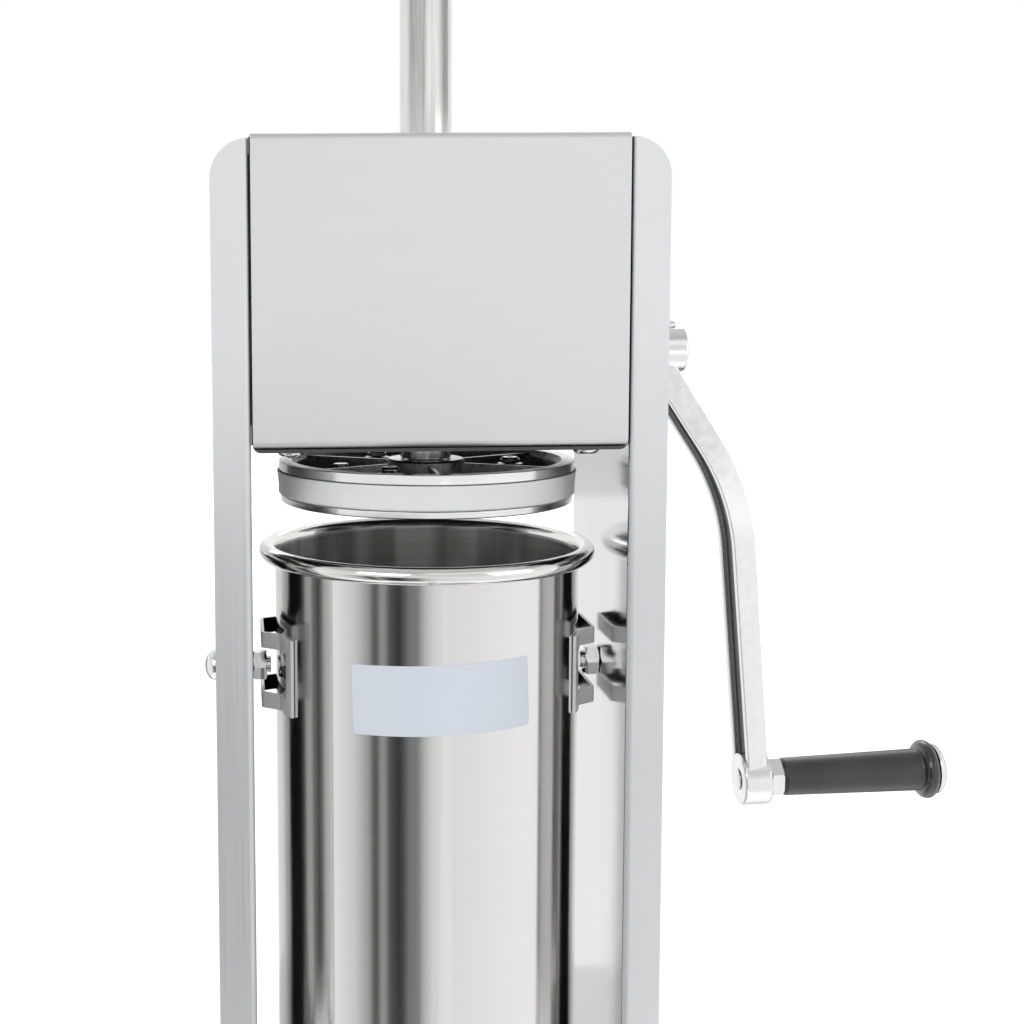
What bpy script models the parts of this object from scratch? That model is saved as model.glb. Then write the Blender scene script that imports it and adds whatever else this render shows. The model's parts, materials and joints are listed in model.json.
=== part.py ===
"""Vertical sausage stuffer: a hand crank drives a toothed rod that presses a piston into a cylinder.

Metres, +Z up. The crank is at +X and the outlet points to -Y.
The model is built round the cylinder's axis and then shifted, so that the origin ends up in the
middle of the footprint, at the height of the feet's underside.
"""
import math

import bmesh
import bpy
from mathutils import Vector

MM = 0.001

# Shared allowances
gap = 0.3 * MM                  # between pieces that touch or seat
overrun = 2.0 * MM              # how far a cutter runs past the face that it opens
round_sides = 36                # sides of a large turned piece
shaft_sides = 18                # sides of a shaft or a bush
small_sides = 12                # sides of a screw
bend_steps = 3                  # steps in a sheet's bend

# Cylinder
bore_radius = 70.5 * MM
cylinder_wall = 1.0 * MM
cylinder_height = 335.0 * MM    # from its underside to the middle of the rolled rim
cylinder_floor = 1.5 * MM
bottom_fillet = 4.0 * MM
bead_radius = 4.0 * MM
bead_steps = 6
bead_reach = 4.5 * MM           # from the bore to the middle of the rolled rim
bead_curl_share = 0.75          # of a half turn, past the bead's outermost point
mouth_depth = 7.0 * MM          # height over which the mouth flares out to the rim
mouth_shares = ((0.55, 0.3), (0.2, 0.62))   # of the lip's reach and of the mouth's depth
fillet_share = 1 / 3            # where the bottom's fillet is broken, of its radius

# Brackets on the cylinder that hook over the pivot bolts
bracket_sheet = 1.5 * MM
bracket_height = 36.0 * MM
bracket_below_rim = 36.5 * MM
bracket_half_depth = 27.0 * MM
bracket_reach = 7.5 * MM        # from the cylinder's wall to the outer face
bracket_flange = 6.6 * MM
bracket_bend = 3.0 * MM
slot_height = 21.0 * MM
slot_margin = 7.5 * MM          # band left above the slot
slot_web = 2.0 * MM             # strip left between the slot and the cylinder

# Outlet at the cylinder's foot
outlet_height = 34.0 * MM       # middle of the outlet above the cylinder's underside
outlet_bore = 18.5 * MM
outlet_radius = 22.0 * MM
outlet_length = 30.0 * MM       # straight length in front of the cylinder's wall
collar_radius = 25.0 * MM
collar_length = 12.0 * MM

# Ring nut and stuffing tube
nut_clearance = 0.4 * MM
nut_radius = 28.5 * MM
nut_length = 20.0 * MM
nut_lip = 3.0 * MM
nut_lobes = 10
lobe_depth = 1.6 * MM
tube_flange_radius = 21.0 * MM
tube_flange = 2.5 * MM
tube_neck = 2.2 * MM            # straight length in front of the nut's lip
tube_root_radius = 16.5 * MM
tube_tip_radius = 10.5 * MM
tube_wall = 1.2 * MM
tube_length = 150.0 * MM

# Base
foot_height = 14.0 * MM
foot_radius = 17.0 * MM
foot_neck_radius = 13.5 * MM
foot_edge = 2.0 * MM
foot_inset = 24.0 * MM          # from the base's edges to a foot's middle
base_width = 236.0 * MM
base_depth = 300.0 * MM
base_height = 30.0 * MM
base_sheet = 2.0 * MM
base_corner = 20.0 * MM
base_edge = 4.0 * MM
base_lead = 22.0 * MM           # how far the base's middle lies in front of the cylinder's axis

# Columns
web_gap = 165.0 * MM            # between the two columns' inner faces
column_sheet = 2.0 * MM
column_depth = 120.0 * MM
column_width = 16.5 * MM        # from the web's inner face to the flanges' edges
column_bend = 3.0 * MM
column_corner = 17.0 * MM
corner_steps = 7
angle_sheet = 2.5 * MM
angle_height = 38.0 * MM
angle_depth = 92.0 * MM
angle_margin = 1.0 * MM

# Gearbox cover and floor
cover_above_rim = 54.0 * MM     # cover's lower edge above the rim's middle
cover_height = 135.0 * MM
cover_sheet = 1.5 * MM
cover_bend = 2.5 * MM
cover_side_gap = 0.8 * MM
cover_lip = 15.0 * MM
cover_rise = 2.0 * MM           # cover's top above the columns' tops
floor_sheet = 1.5 * MM
floor_setback = 1.4 * MM        # floor's front edge behind the cover's face
floor_flange = 16.0 * MM

# Rack and guides
rack_radius = 12.0 * MM
rack_sides = 16
rack_above_box = 322.0 * MM     # rack's top above the cover at rest
rack_chamfer = 1.5 * MM
guide_clearance = 0.4 * MM
guide_wall = 4.5 * MM
guide_flange_reach = 4.0 * MM
guide_flange = 2.5 * MM
guide_depth = 10.0 * MM

# Gear train
module = 2.0 * MM
pressure_angle = math.radians(25.0)
addendum_share = 0.8
dedendum_share = 1.05
backlash = 0.15 * MM            # taken off each flank of each gear
flank_steps = 3
rack_pinion_teeth = 12
drive_gear_teeth = 32
slow_pinion_teeth = 12
rack_pitch_depth = 8.0 * MM     # rack's pitch line behind its axis
pinion_width = 16.0 * MM
drive_gear_width = 10.0 * MM
slow_pinion_width = 14.0 * MM
gear_offset = -38.0 * MM        # middle of the drive gear along X
gear_hub_radius = 13.0 * MM
gear_hub_length = 8.0 * MM
shaft_below_top = 97.0 * MM     # crank shaft's axis below the cover's top
shaft_radius = 7.0 * MM
shaft_end = 3.0 * MM            # shaft's end past its left bush
fast_stub = 26.0 * MM           # fast shaft's end past the right web
bush_wall = 3.0 * MM
bush_flange = 2.0 * MM
bush_flange_reach = 3.0 * MM
bush_depth = 7.0 * MM           # bush's barrel outside the web
shaft_clearance = 0.3 * MM

# Crank
crank_radius = 214.0 * MM
hub_radius = 11.3 * MM
hub_start = 19.0 * MM           # hub's inner end past the web's outer face
hub_length = 27.0 * MM
hub_edge = 1.0 * MM
arm_depth = 20.0 * MM
arm_thickness_top = 13.4 * MM
arm_thickness_low = 10.0 * MM
arm_groove = 2.6 * MM
arm_flange = 4.6 * MM
arm_top_angle = math.radians(33.0)
arm_low_angle = math.radians(4.5)
arm_bend_radius = 112.0 * MM
arm_steps = 9
boss_radius = 12.8 * MM
boss_start = 74.0 * MM          # boss's inner end past the web's outer face
boss_length = 15.0 * MM
screw_head_radius = 3.4 * MM
screw_head_height = 4.0 * MM
screw_radius = 2.5 * MM
screw_from_hub_end = 8.5 * MM

# Grip, turned by its tilt about the spindle's inner end
grip_tilt = math.radians(2.0)
spindle_radius = 4.0 * MM
spindle_head = 1.5 * MM
spindle_head_radius = 5.5 * MM
grip_collar_radius = 9.8 * MM
grip_collar_length = 8.0 * MM
grip_length = 66.0 * MM
grip_root_radius = 9.2 * MM
grip_tip_radius = 10.3 * MM
grip_disc_radius = 14.3 * MM
grip_disc_length = 9.0 * MM
disc_steps = 6
cap_radius = 9.0 * MM
cap_length = 4.5 * MM

# Piston
piston_above_rim = 23.6 * MM    # underside of the piston above the rim's middle at rest
seal_clearance = 0.4 * MM       # seal to bore
seal_height = 11.2 * MM
seal_bevel = 1.2 * MM           # on the seal's lower edge
upper_clearance = 1.3 * MM
lower_clearance = 2.2 * MM
lower_plate = 3.2 * MM
upper_land = 4.3 * MM           # height of the upper plate's bright edge
land_width = 6.6 * MM
register_wall = 2.4 * MM
cavity_floor = 3.0 * MM
hub_boss_radius = 19.0 * MM
rib_count = 6
rib_thickness = 3.0 * MM
rib_drop = 1.5 * MM
boss_count = 3
piston_boss_radius = 6.5 * MM
piston_boss_circle = 40.0 * MM
stud_radius = 8.0 * MM
rack_nut_radius = 14.0 * MM
rack_nut_height = 8.0 * MM
plate_screw_radius = 2.5 * MM
plate_screw_head = 4.5 * MM
plate_screw_head_height = 2.6 * MM
valve_radius = 6.0 * MM
valve_height = 7.0 * MM
valve_bore = 2.6 * MM
valve_stem_radius = 2.2 * MM
valve_knob_radius = 3.6 * MM
valve_knob_height = 3.0 * MM
valve_angle = math.radians(180.0)

# Fasteners
pivot_radius = 4.0 * MM
pivot_below_rim = 55.0 * MM
pivot_reach = 8.7 * MM          # bolt's inner end past the web's inner face
pivot_washer = 1.0 * MM         # flat rim under the bolt's domed head
pivot_nut_height = 6.5 * MM
pivot_nut_flats = 13.0 * MM
sleeve_radius = 6.0 * MM
sleeve_length = 14.0 * MM
dome_radius = 7.4 * MM
dome_height = 5.0 * MM
base_bolt_radius = 3.0 * MM
base_bolt_flats = 10.0 * MM
base_bolt_head = 4.0 * MM
base_bolt_length = 12.0 * MM
base_bolt_spread = 60.0 * MM
floor_screw_radius = 2.5 * MM
floor_screw_head = 5.8 * MM
floor_screw_head_height = 2.4 * MM
floor_screw_length = 8.0 * MM
floor_screw_spread = 130.0 * MM

# Levels and places that follow
half_gap = web_gap / 2
web_outer = half_gap + column_sheet
wall_radius = bore_radius + cylinder_wall
base_top = foot_height + base_height
cylinder_foot = base_top + gap
rim_level = cylinder_foot + cylinder_height
cover_foot = rim_level + cover_above_rim
cover_top = cover_foot + cover_height
column_foot = base_top + gap
column_top = cover_top - cover_rise
floor_top = cover_foot - gap
floor_under = floor_top - floor_sheet
piston_under = rim_level + piston_above_rim
pivot_level = rim_level - pivot_below_rim
slow_level = cover_top - shaft_below_top
gear_centres = module * (drive_gear_teeth + slow_pinion_teeth) / 2
fast_level = slow_level + gear_centres
rack_pinion_pitch = module * rack_pinion_teeth / 2
shaft_depth = rack_pitch_depth + rack_pinion_pitch
base_bolt_place = web_outer + angle_sheet + base_bolt_flats / 2 + 3 * gap
outlet_level = cylinder_foot + outlet_height
outlet_face = -(wall_radius + outlet_length)
guide_radius = rack_radius + guide_clearance
# In the crank shaft's frame, whose Z runs along X and whose X points down
boss_place = (crank_radius, 0, web_outer + boss_start)
grip_turn = (0, -grip_tilt, 0)


def clear_scene():
    for item in list(bpy.data.objects):
        bpy.data.objects.remove(item, do_unlink=True)


def make_material(name, colour, roughness, metallic):
    material = bpy.data.materials.new(name)
    material.use_nodes = True
    shader = material.node_tree.nodes["Principled BSDF"]
    shader.inputs["Base Color"].default_value = (*colour, 1.0)
    shader.inputs["Roughness"].default_value = roughness
    shader.inputs["Metallic"].default_value = metallic
    return material


def make_empty(name, place, parent=None, turn=(0.0, 0.0, 0.0)):
    """An empty on a joint's axis; its pieces are modelled about it."""
    empty = bpy.data.objects.new(name, None)
    empty.location = place
    empty.rotation_euler = turn
    empty.parent = parent
    bpy.context.collection.objects.link(empty)
    return empty


def circle(radius, height, sides, start=0.0):
    turn = 2 * math.pi / sides
    return [Vector((radius * math.cos(start + turn * i), radius * math.sin(start + turn * i), height))
            for i in range(sides)]


def polygon_ring(points, height):
    return [Vector((x, y, height)) for x, y in points]


def skin(rings, closed=False):
    """A mesh through equal rings of points, capped at both ends or closed on itself."""
    shell = bmesh.new()
    rows = [[shell.verts.new(point) for point in ring] for ring in rings]
    pairs = list(zip(rows, rows[1:]))
    if closed:
        pairs.append((rows[-1], rows[0]))
    for low, high in pairs:
        for i in range(len(low)):
            j = (i + 1) % len(low)
            shell.faces.new((low[i], low[j], high[j], high[i]))
    if not closed:
        shell.faces.new(list(reversed(rows[0])))
        shell.faces.new(rows[-1])
    bmesh.ops.recalc_face_normals(shell, faces=shell.faces)
    return shell


def add_piece(name, shell, material, parent, place=(0, 0, 0), turn=(0, 0, 0), crease=35.0):
    mesh = bpy.data.meshes.new(name)
    shell.to_mesh(mesh)
    shell.free()
    piece = bpy.data.objects.new(name, mesh)
    piece.location = place
    piece.rotation_euler = turn
    piece.parent = parent
    bpy.context.collection.objects.link(piece)
    if material is not None:
        mesh.materials.append(material)
    mesh.shade_smooth()
    mesh.set_sharp_from_angle(angle=math.radians(crease))
    return piece


def turned(outline, sides=round_sides, closed=False):
    """A turned solid through (radius, height) points about Z."""
    return skin([circle(radius, height, sides) for radius, height in outline], closed)


def prism(points, low, high):
    return skin([polygon_ring(points, low), polygon_ring(points, high)])


def box(low, high):
    (x0, y0, z0), (x1, y1, z1) = low, high
    return prism([(x0, y0), (x1, y0), (x1, y1), (x0, y1)], z0, z1)


def modify(piece, tool, operation):
    change = piece.modifiers.new(operation.title(), "BOOLEAN")
    change.object = tool
    change.operation = operation
    change.solver = "EXACT"


def cut(piece, shell, place=(0, 0, 0), turn=(0, 0, 0), parent=None):
    """Cut a shape out of a piece; the cutter has the piece's parent unless another is given."""
    cutter = add_piece(piece.name + "_cutter", shell, None, parent or piece.parent, place, turn)
    cutter.hide_render = True
    cutter.display_type = "WIRE"
    modify(piece, cutter, "DIFFERENCE")
    return cutter


def weld(piece, shell, place=(0, 0, 0), turn=(0, 0, 0)):
    """Join a shape to a piece as one body."""
    tool = add_piece(piece.name + "_tool", shell, None, piece.parent, place, turn)
    tool.hide_render = True
    tool.display_type = "WIRE"
    modify(piece, tool, "UNION")
    return tool


def bore(piece, radius, place, axis, length, sides=shaft_sides):
    """Drill a round hole of a length, centred on a place, along an axis of the piece's parent."""
    turns = {"X": (0, math.pi / 2, 0), "Y": (math.pi / 2, 0, 0), "Z": (0, 0, 0)}
    cut(piece, turned([(radius, -length / 2), (radius, length / 2)], sides), place, turns[axis])


def rounded(points, radius, steps=bend_steps):
    """An open path of 2-D points with its inner corners rounded to a radius."""
    path = [Vector(points[0])]
    for before, corner, after in zip(points, points[1:], points[2:]):
        here = Vector(corner)
        back = (Vector(before) - here).normalized()
        ahead = (Vector(after) - here).normalized()
        half = back.angle(ahead) / 2
        reach = radius / math.tan(half)
        centre = here + (back + ahead).normalized() * (radius / math.sin(half))
        first = here + back * reach - centre
        sweep = first.angle_signed(here + ahead * reach - centre)
        for i in range(steps + 1):
            angle = -sweep * i / steps
            path.append(centre + Vector((first.x * math.cos(angle) - first.y * math.sin(angle),
                                         first.x * math.sin(angle) + first.y * math.cos(angle))))
    path.append(Vector(points[-1]))
    return path


def sheet(path, thickness):
    """The closed outline of a bent sheet whose middle follows an open path."""
    left, right = [], []
    for i, point in enumerate(path):
        back = (point - path[max(i - 1, 0)]).normalized() if i else None
        ahead = (path[i + 1] - point).normalized() if i + 1 < len(path) else None
        along = (back or ahead) + (ahead or back)
        along.normalize()
        side = Vector((-along.y, along.x))
        reach = thickness / 2 / side.dot(Vector((-(ahead or back).y, (ahead or back).x)))
        left.append(point + side * reach)
        right.append(point - side * reach)
    return [tuple(point) for point in left + right[::-1]]


def rounded_rectangle(width, depth, corner, height, steps=4):
    ring = []
    for centre_x, centre_y, start in ((1, 1, 0.0), (-1, 1, 0.5), (-1, -1, 1.0), (1, -1, 1.5)):
        for i in range(steps + 1):
            angle = math.pi * (start + i / steps / 2)
            ring.append(Vector((centre_x * (width / 2 - corner) + corner * math.cos(angle),
                                centre_y * (depth / 2 - corner) + corner * math.sin(angle), height)))
    return ring


def crowned_block(width, depth, corner, edge, low, high, steps=3):
    """A block with rounded upright corners and a rounded top edge."""
    rings = [rounded_rectangle(width, depth, corner, low)]
    for i in range(steps + 1):
        angle = math.pi / 2 * i / steps
        inset = edge * (1 - math.cos(angle))
        rings.append(rounded_rectangle(width - 2 * inset, depth - 2 * inset, corner - inset,
                                       high - edge + edge * math.sin(angle)))
    return skin(rings)


def hexagon(flats, low, high):
    """A hexagonal prism with two of its flats square to X."""
    return skin([circle(flats / math.sqrt(3), height, 6, math.pi / 6) for height in (low, high)])


def dome(radius, height, low, steps=3):
    """(radius, height) points of a domed head that starts at a level."""
    turns = [math.pi / 2 * i / (steps + 1) for i in range(steps + 1)]
    return [(radius * math.cos(angle), low + height * math.sin(angle)) for angle in turns]


def involute(angle):
    return math.tan(angle) - angle


def gear_outline(teeth, first):
    """Points round a spur gear whose first tooth is centred on an angle."""
    pitch = module * teeth / 2
    base = pitch * math.cos(pressure_angle)
    tip = pitch + module * addendum_share
    root = pitch - module * dedendum_share
    half = math.pi / (2 * teeth) - backlash / pitch + involute(pressure_angle)
    start = max(base, root)
    flank = [start + (tip - start) * i / flank_steps for i in range(flank_steps + 1)]
    widths = [half - involute(math.acos(min(base / radius, 1.0))) for radius in flank]
    if root < base:
        flank.insert(0, root)
        widths.insert(0, widths[0])
    points = []
    for tooth in range(teeth):
        middle = first + 2 * math.pi * tooth / teeth
        side = [(radius, middle - width) for radius, width in zip(flank, widths)]
        side += [(radius, middle + width) for radius, width in reversed(list(zip(flank, widths)))]
        points += [(radius * math.cos(angle), radius * math.sin(angle)) for radius, angle in side]
    return points


def make_base(finish, rubber, steel, root):
    middle = -base_lead
    tray = add_piece("base_tray", crowned_block(base_width, base_depth, base_corner, base_edge,
                                                foot_height, base_top), finish, root, (0, middle, 0))
    inner = crowned_block(base_width - 2 * base_sheet, base_depth - 2 * base_sheet,
                          base_corner - base_sheet, base_edge - base_sheet,
                          foot_height - overrun, base_top - base_sheet)
    cut(tray, inner, (0, middle, 0))
    # The feet's necks reach up to the tray's top skin from below
    neck_top = base_top - base_sheet - gap
    for depth_name, depth_side in (("front", -1), ("rear", 1)):
        for width_name, width_side in (("left", -1), ("right", 1)):
            outline = [(foot_radius - foot_edge, 0.0), (foot_radius, foot_edge),
                       (foot_neck_radius, foot_height), (foot_neck_radius, neck_top)]
            add_piece(f"foot_{depth_name}_{width_name}", turned(outline, shaft_sides), rubber, root,
                      (width_side * (base_width / 2 - foot_inset),
                       middle + depth_side * (base_depth / 2 - foot_inset), 0))
    for width_name, side in (("left", -1), ("right", 1)):
        for depth_name, depth_side in (("front", -1), ("rear", 1)):
            place = (side * base_bolt_place, depth_side * base_bolt_spread / 2, 0)
            seat = column_foot + angle_sheet + gap
            head = hexagon(base_bolt_flats, seat, seat + base_bolt_head)
            bolt = add_piece(f"base_bolt_{width_name}_{depth_name}", head, steel, root, place)
            weld(bolt, turned([(base_bolt_radius, seat + base_bolt_head / 2 - base_bolt_length),
                               (base_bolt_radius, seat + base_bolt_head / 2)], small_sides), place)
            hole_place = (place[0], place[1], base_top - base_sheet / 2)
            bore(tray, base_bolt_radius + gap, hole_place, "Z", base_sheet + 2 * overrun, small_sides)
    return tray


def make_columns(finish, root):
    columns = []
    for name, side in (("left", -1), ("right", 1)):
        middle = half_gap + column_sheet / 2
        outer = half_gap + column_width
        edge = column_depth / 2 - column_sheet / 2
        path = rounded([(side * outer, -edge), (side * middle, -edge), (side * middle, edge),
                        (side * outer, edge)], column_bend)
        column = add_piece(f"{name}_column", prism(sheet(path, column_sheet), column_foot, column_top),
                           finish, root)
        # Round the flanges' upper corners
        arc = [(side * (outer - column_corner * (1 - math.cos(math.pi / 2 * i / corner_steps))),
                column_top - column_corner * (1 - math.sin(math.pi / 2 * i / corner_steps)))
               for i in range(corner_steps + 1)]
        outline = [(side * (outer - column_corner), column_top + overrun),
                   (side * (outer + overrun), column_top + overrun),
                   (side * (outer + overrun), column_top - column_corner)]
        corner = skin([[Vector((x, y, z)) for x, z in outline + arc]
                       for y in (-column_depth / 2 - overrun, column_depth / 2 + overrun)])
        cut(column, corner)
        for level, radius in ((slow_level, shaft_radius + bush_wall), (fast_level, shaft_radius + bush_wall),
                              (pivot_level, pivot_radius)):
            depth = 0.0 if level == pivot_level else shaft_depth
            bore(column, radius + gap, (side * middle, depth, level), "X", column_sheet + 2 * overrun)
        columns.append(column)
        # Angle that carries the column's foot on the base
        inner = web_outer + gap + angle_sheet / 2
        low = column_foot + angle_sheet / 2
        path = [(side * inner, low + angle_height), (side * inner, low),
                (side * (outer - angle_margin), low)]
        outline = sheet([Vector(point) for point in path], angle_sheet)
        angle = add_piece(f"{name}_column_angle",
                          skin([[Vector((x, y, z)) for x, z in outline]
                                for y in (-angle_depth / 2, angle_depth / 2)]), finish, root)
        for depth_side in (-1, 1):
            place = (side * base_bolt_place, depth_side * base_bolt_spread / 2, low)
            bore(angle, base_bolt_radius + gap, place, "Z", angle_sheet + 2 * overrun, small_sides)
    return columns


def make_pivots(steel, root):
    for name, side in (("left", -1), ("right", 1)):
        turn = (0, side * math.pi / 2, 0)
        place = (0, 0, pivot_level)
        inner_end = half_gap - pivot_reach
        sleeve_low = web_outer + gap
        sleeve_high = sleeve_low + sleeve_length
        head_seat = sleeve_high + gap
        outline = [(pivot_radius, inner_end), (pivot_radius, head_seat), (dome_radius, head_seat)]
        outline += dome(dome_radius, dome_height, head_seat + pivot_washer)
        add_piece(f"{name}_pivot_bolt", turned(outline, small_sides), steel, root, place, turn)
        sleeve = [(pivot_radius + gap, sleeve_low), (sleeve_radius, sleeve_low),
                  (sleeve_radius, sleeve_high), (pivot_radius + gap, sleeve_high)]
        add_piece(f"{name}_pivot_sleeve", turned(sleeve, small_sides, closed=True), steel, root, place, turn)
        nut_high = half_gap - gap
        nut_low = nut_high - pivot_nut_height
        nut_shell = hexagon(pivot_nut_flats, nut_low, nut_high)
        nut = add_piece(f"{name}_pivot_nut", nut_shell, steel, root, place, turn)
        hole_radius = pivot_radius + gap
        hole = turned([(hole_radius, nut_low - overrun), (hole_radius, nut_high + overrun)], small_sides)
        cut(nut, hole, place, turn)


def make_cylinder(steel, root, cylinder):
    bead = bore_radius + bead_reach
    broken = bottom_fillet * fillet_share
    outline = [(wall_radius - bottom_fillet, 0.0), (wall_radius - broken, broken),
               (wall_radius, bottom_fillet)]
    join = math.acos((wall_radius - bead) / bead_radius)
    outline.append((wall_radius, cylinder_height - bead_radius * math.sin(join) - bead_radius))
    for i in range(bead_steps + 1):
        angle = -join + (join + bead_curl_share * math.pi) * i / bead_steps
        outline.append((bead + bead_radius * math.cos(angle),
                        cylinder_height + bead_radius * math.sin(angle)))
    lip = outline[-1]
    for reach_share, depth_share in mouth_shares:
        outline.append((bore_radius + (lip[0] - bore_radius) * reach_share,
                        lip[1] - mouth_depth * depth_share))
    outline += [(bore_radius, lip[1] - mouth_depth), (bore_radius, bottom_fillet + cylinder_floor),
                (bore_radius - bottom_fillet, cylinder_floor)]
    drum = add_piece("cylinder", turned(outline, round_sides), steel, cylinder, (0, 0, cylinder_foot))
    hole = turned([(outlet_bore, bore_radius / 2), (outlet_bore, wall_radius + outlet_length)], shaft_sides)
    cut(drum, hole, (0, 0, outlet_level), (math.pi / 2, 0, 0))
    # Brackets: hat sections on both sides, open above and below, slotted through front and rear
    for name, side in (("left", -1), ("right", 1)):
        seat = wall_radius + gap + bracket_sheet / 2
        outer = wall_radius + bracket_reach - bracket_sheet / 2
        root_angle = math.asin(bracket_half_depth / seat)
        tab_angle = root_angle + bracket_flange / seat
        front = [(seat * math.cos(tab_angle), -seat * math.sin(tab_angle)),
                 (seat * math.cos(root_angle), -seat * math.sin(root_angle)), (outer, -bracket_half_depth)]
        half = [(side * x, y) for x, y in front]
        path = rounded(half + [(x, -y) for x, y in reversed(half)], bracket_bend)
        path = path if side > 0 else path[::-1]
        low = rim_level - bracket_below_rim - bracket_height
        bracket = add_piece(f"{name}_bracket", prism(sheet(path, bracket_sheet), low, low + bracket_height),
                            steel, cylinder)
        slot_top = rim_level - bracket_below_rim - slot_margin
        reach = bracket_half_depth + overrun
        x_in = side * (seat * math.cos(root_angle) + slot_web)
        x_out = side * (outer + overrun)
        low_corner = (min(x_in, x_out), -reach, slot_top - slot_height)
        high_corner = (max(x_in, x_out), reach, slot_top)
        cut(bracket, box(low_corner, high_corner))
    # Outlet: a pipe whose inner end follows the cylinder's wall
    turn = (math.pi / 2, 0, 0)
    place = (0, 0, outlet_level)
    face = -outlet_face
    outline = [(outlet_bore, bore_radius / 2), (collar_radius, bore_radius / 2),
               (collar_radius, wall_radius + collar_length), (outlet_radius, wall_radius + collar_length),
               (outlet_radius, face), (outlet_bore, face)]
    spout = add_piece("outlet_spout", turned(outline, shaft_sides, closed=True), steel, cylinder, place, turn)
    cut(spout, turned([(wall_radius + gap, outlet_level - 2 * collar_radius),
                       (wall_radius + gap, outlet_level + 2 * collar_radius)]))
    return drum


def make_tube_set(steel, tube_axis, nut_axis):
    """The stuffing tube and its ring nut; both axes start at the outlet's face and point forward."""
    inner = tube_root_radius - tube_wall
    tip_inner = tube_tip_radius - tube_wall
    shoulder = gap + tube_flange
    taper_start = shoulder + nut_lip + tube_neck
    outline = [(inner, gap), (tube_flange_radius, gap), (tube_flange_radius, shoulder),
               (tube_root_radius, shoulder), (tube_root_radius, taper_start), (tube_tip_radius, tube_length),
               (tip_inner, tube_length), (inner, taper_start)]
    add_piece("stuffing_tube", turned(outline, shaft_sides, closed=True), steel, tube_axis)
    front = 2 * gap + tube_flange + nut_lip
    rear = front - nut_length
    lip_inner = tube_root_radius + nut_clearance
    thread = outlet_radius + nut_clearance
    sides = nut_lobes * 4
    rings = []
    for radius, height in ((thread, rear), (nut_radius, rear), (nut_radius, front), (lip_inner, front),
                           (lip_inner, front - nut_lip), (thread, front - nut_lip)):
        # Every fourth point is a lobe's crest, and the point between two crests its valley
        valley = 1 - lobe_depth / radius if radius == nut_radius else 1.0
        scales = (1.0, (1 + valley) / 2, valley, (1 + valley) / 2)
        rings.append([Vector((point.x * scales[i % 4], point.y * scales[i % 4], point.z))
                      for i, point in enumerate(circle(radius, height, sides))])
    add_piece("ring_nut", skin(rings, closed=True), steel, nut_axis)


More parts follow.
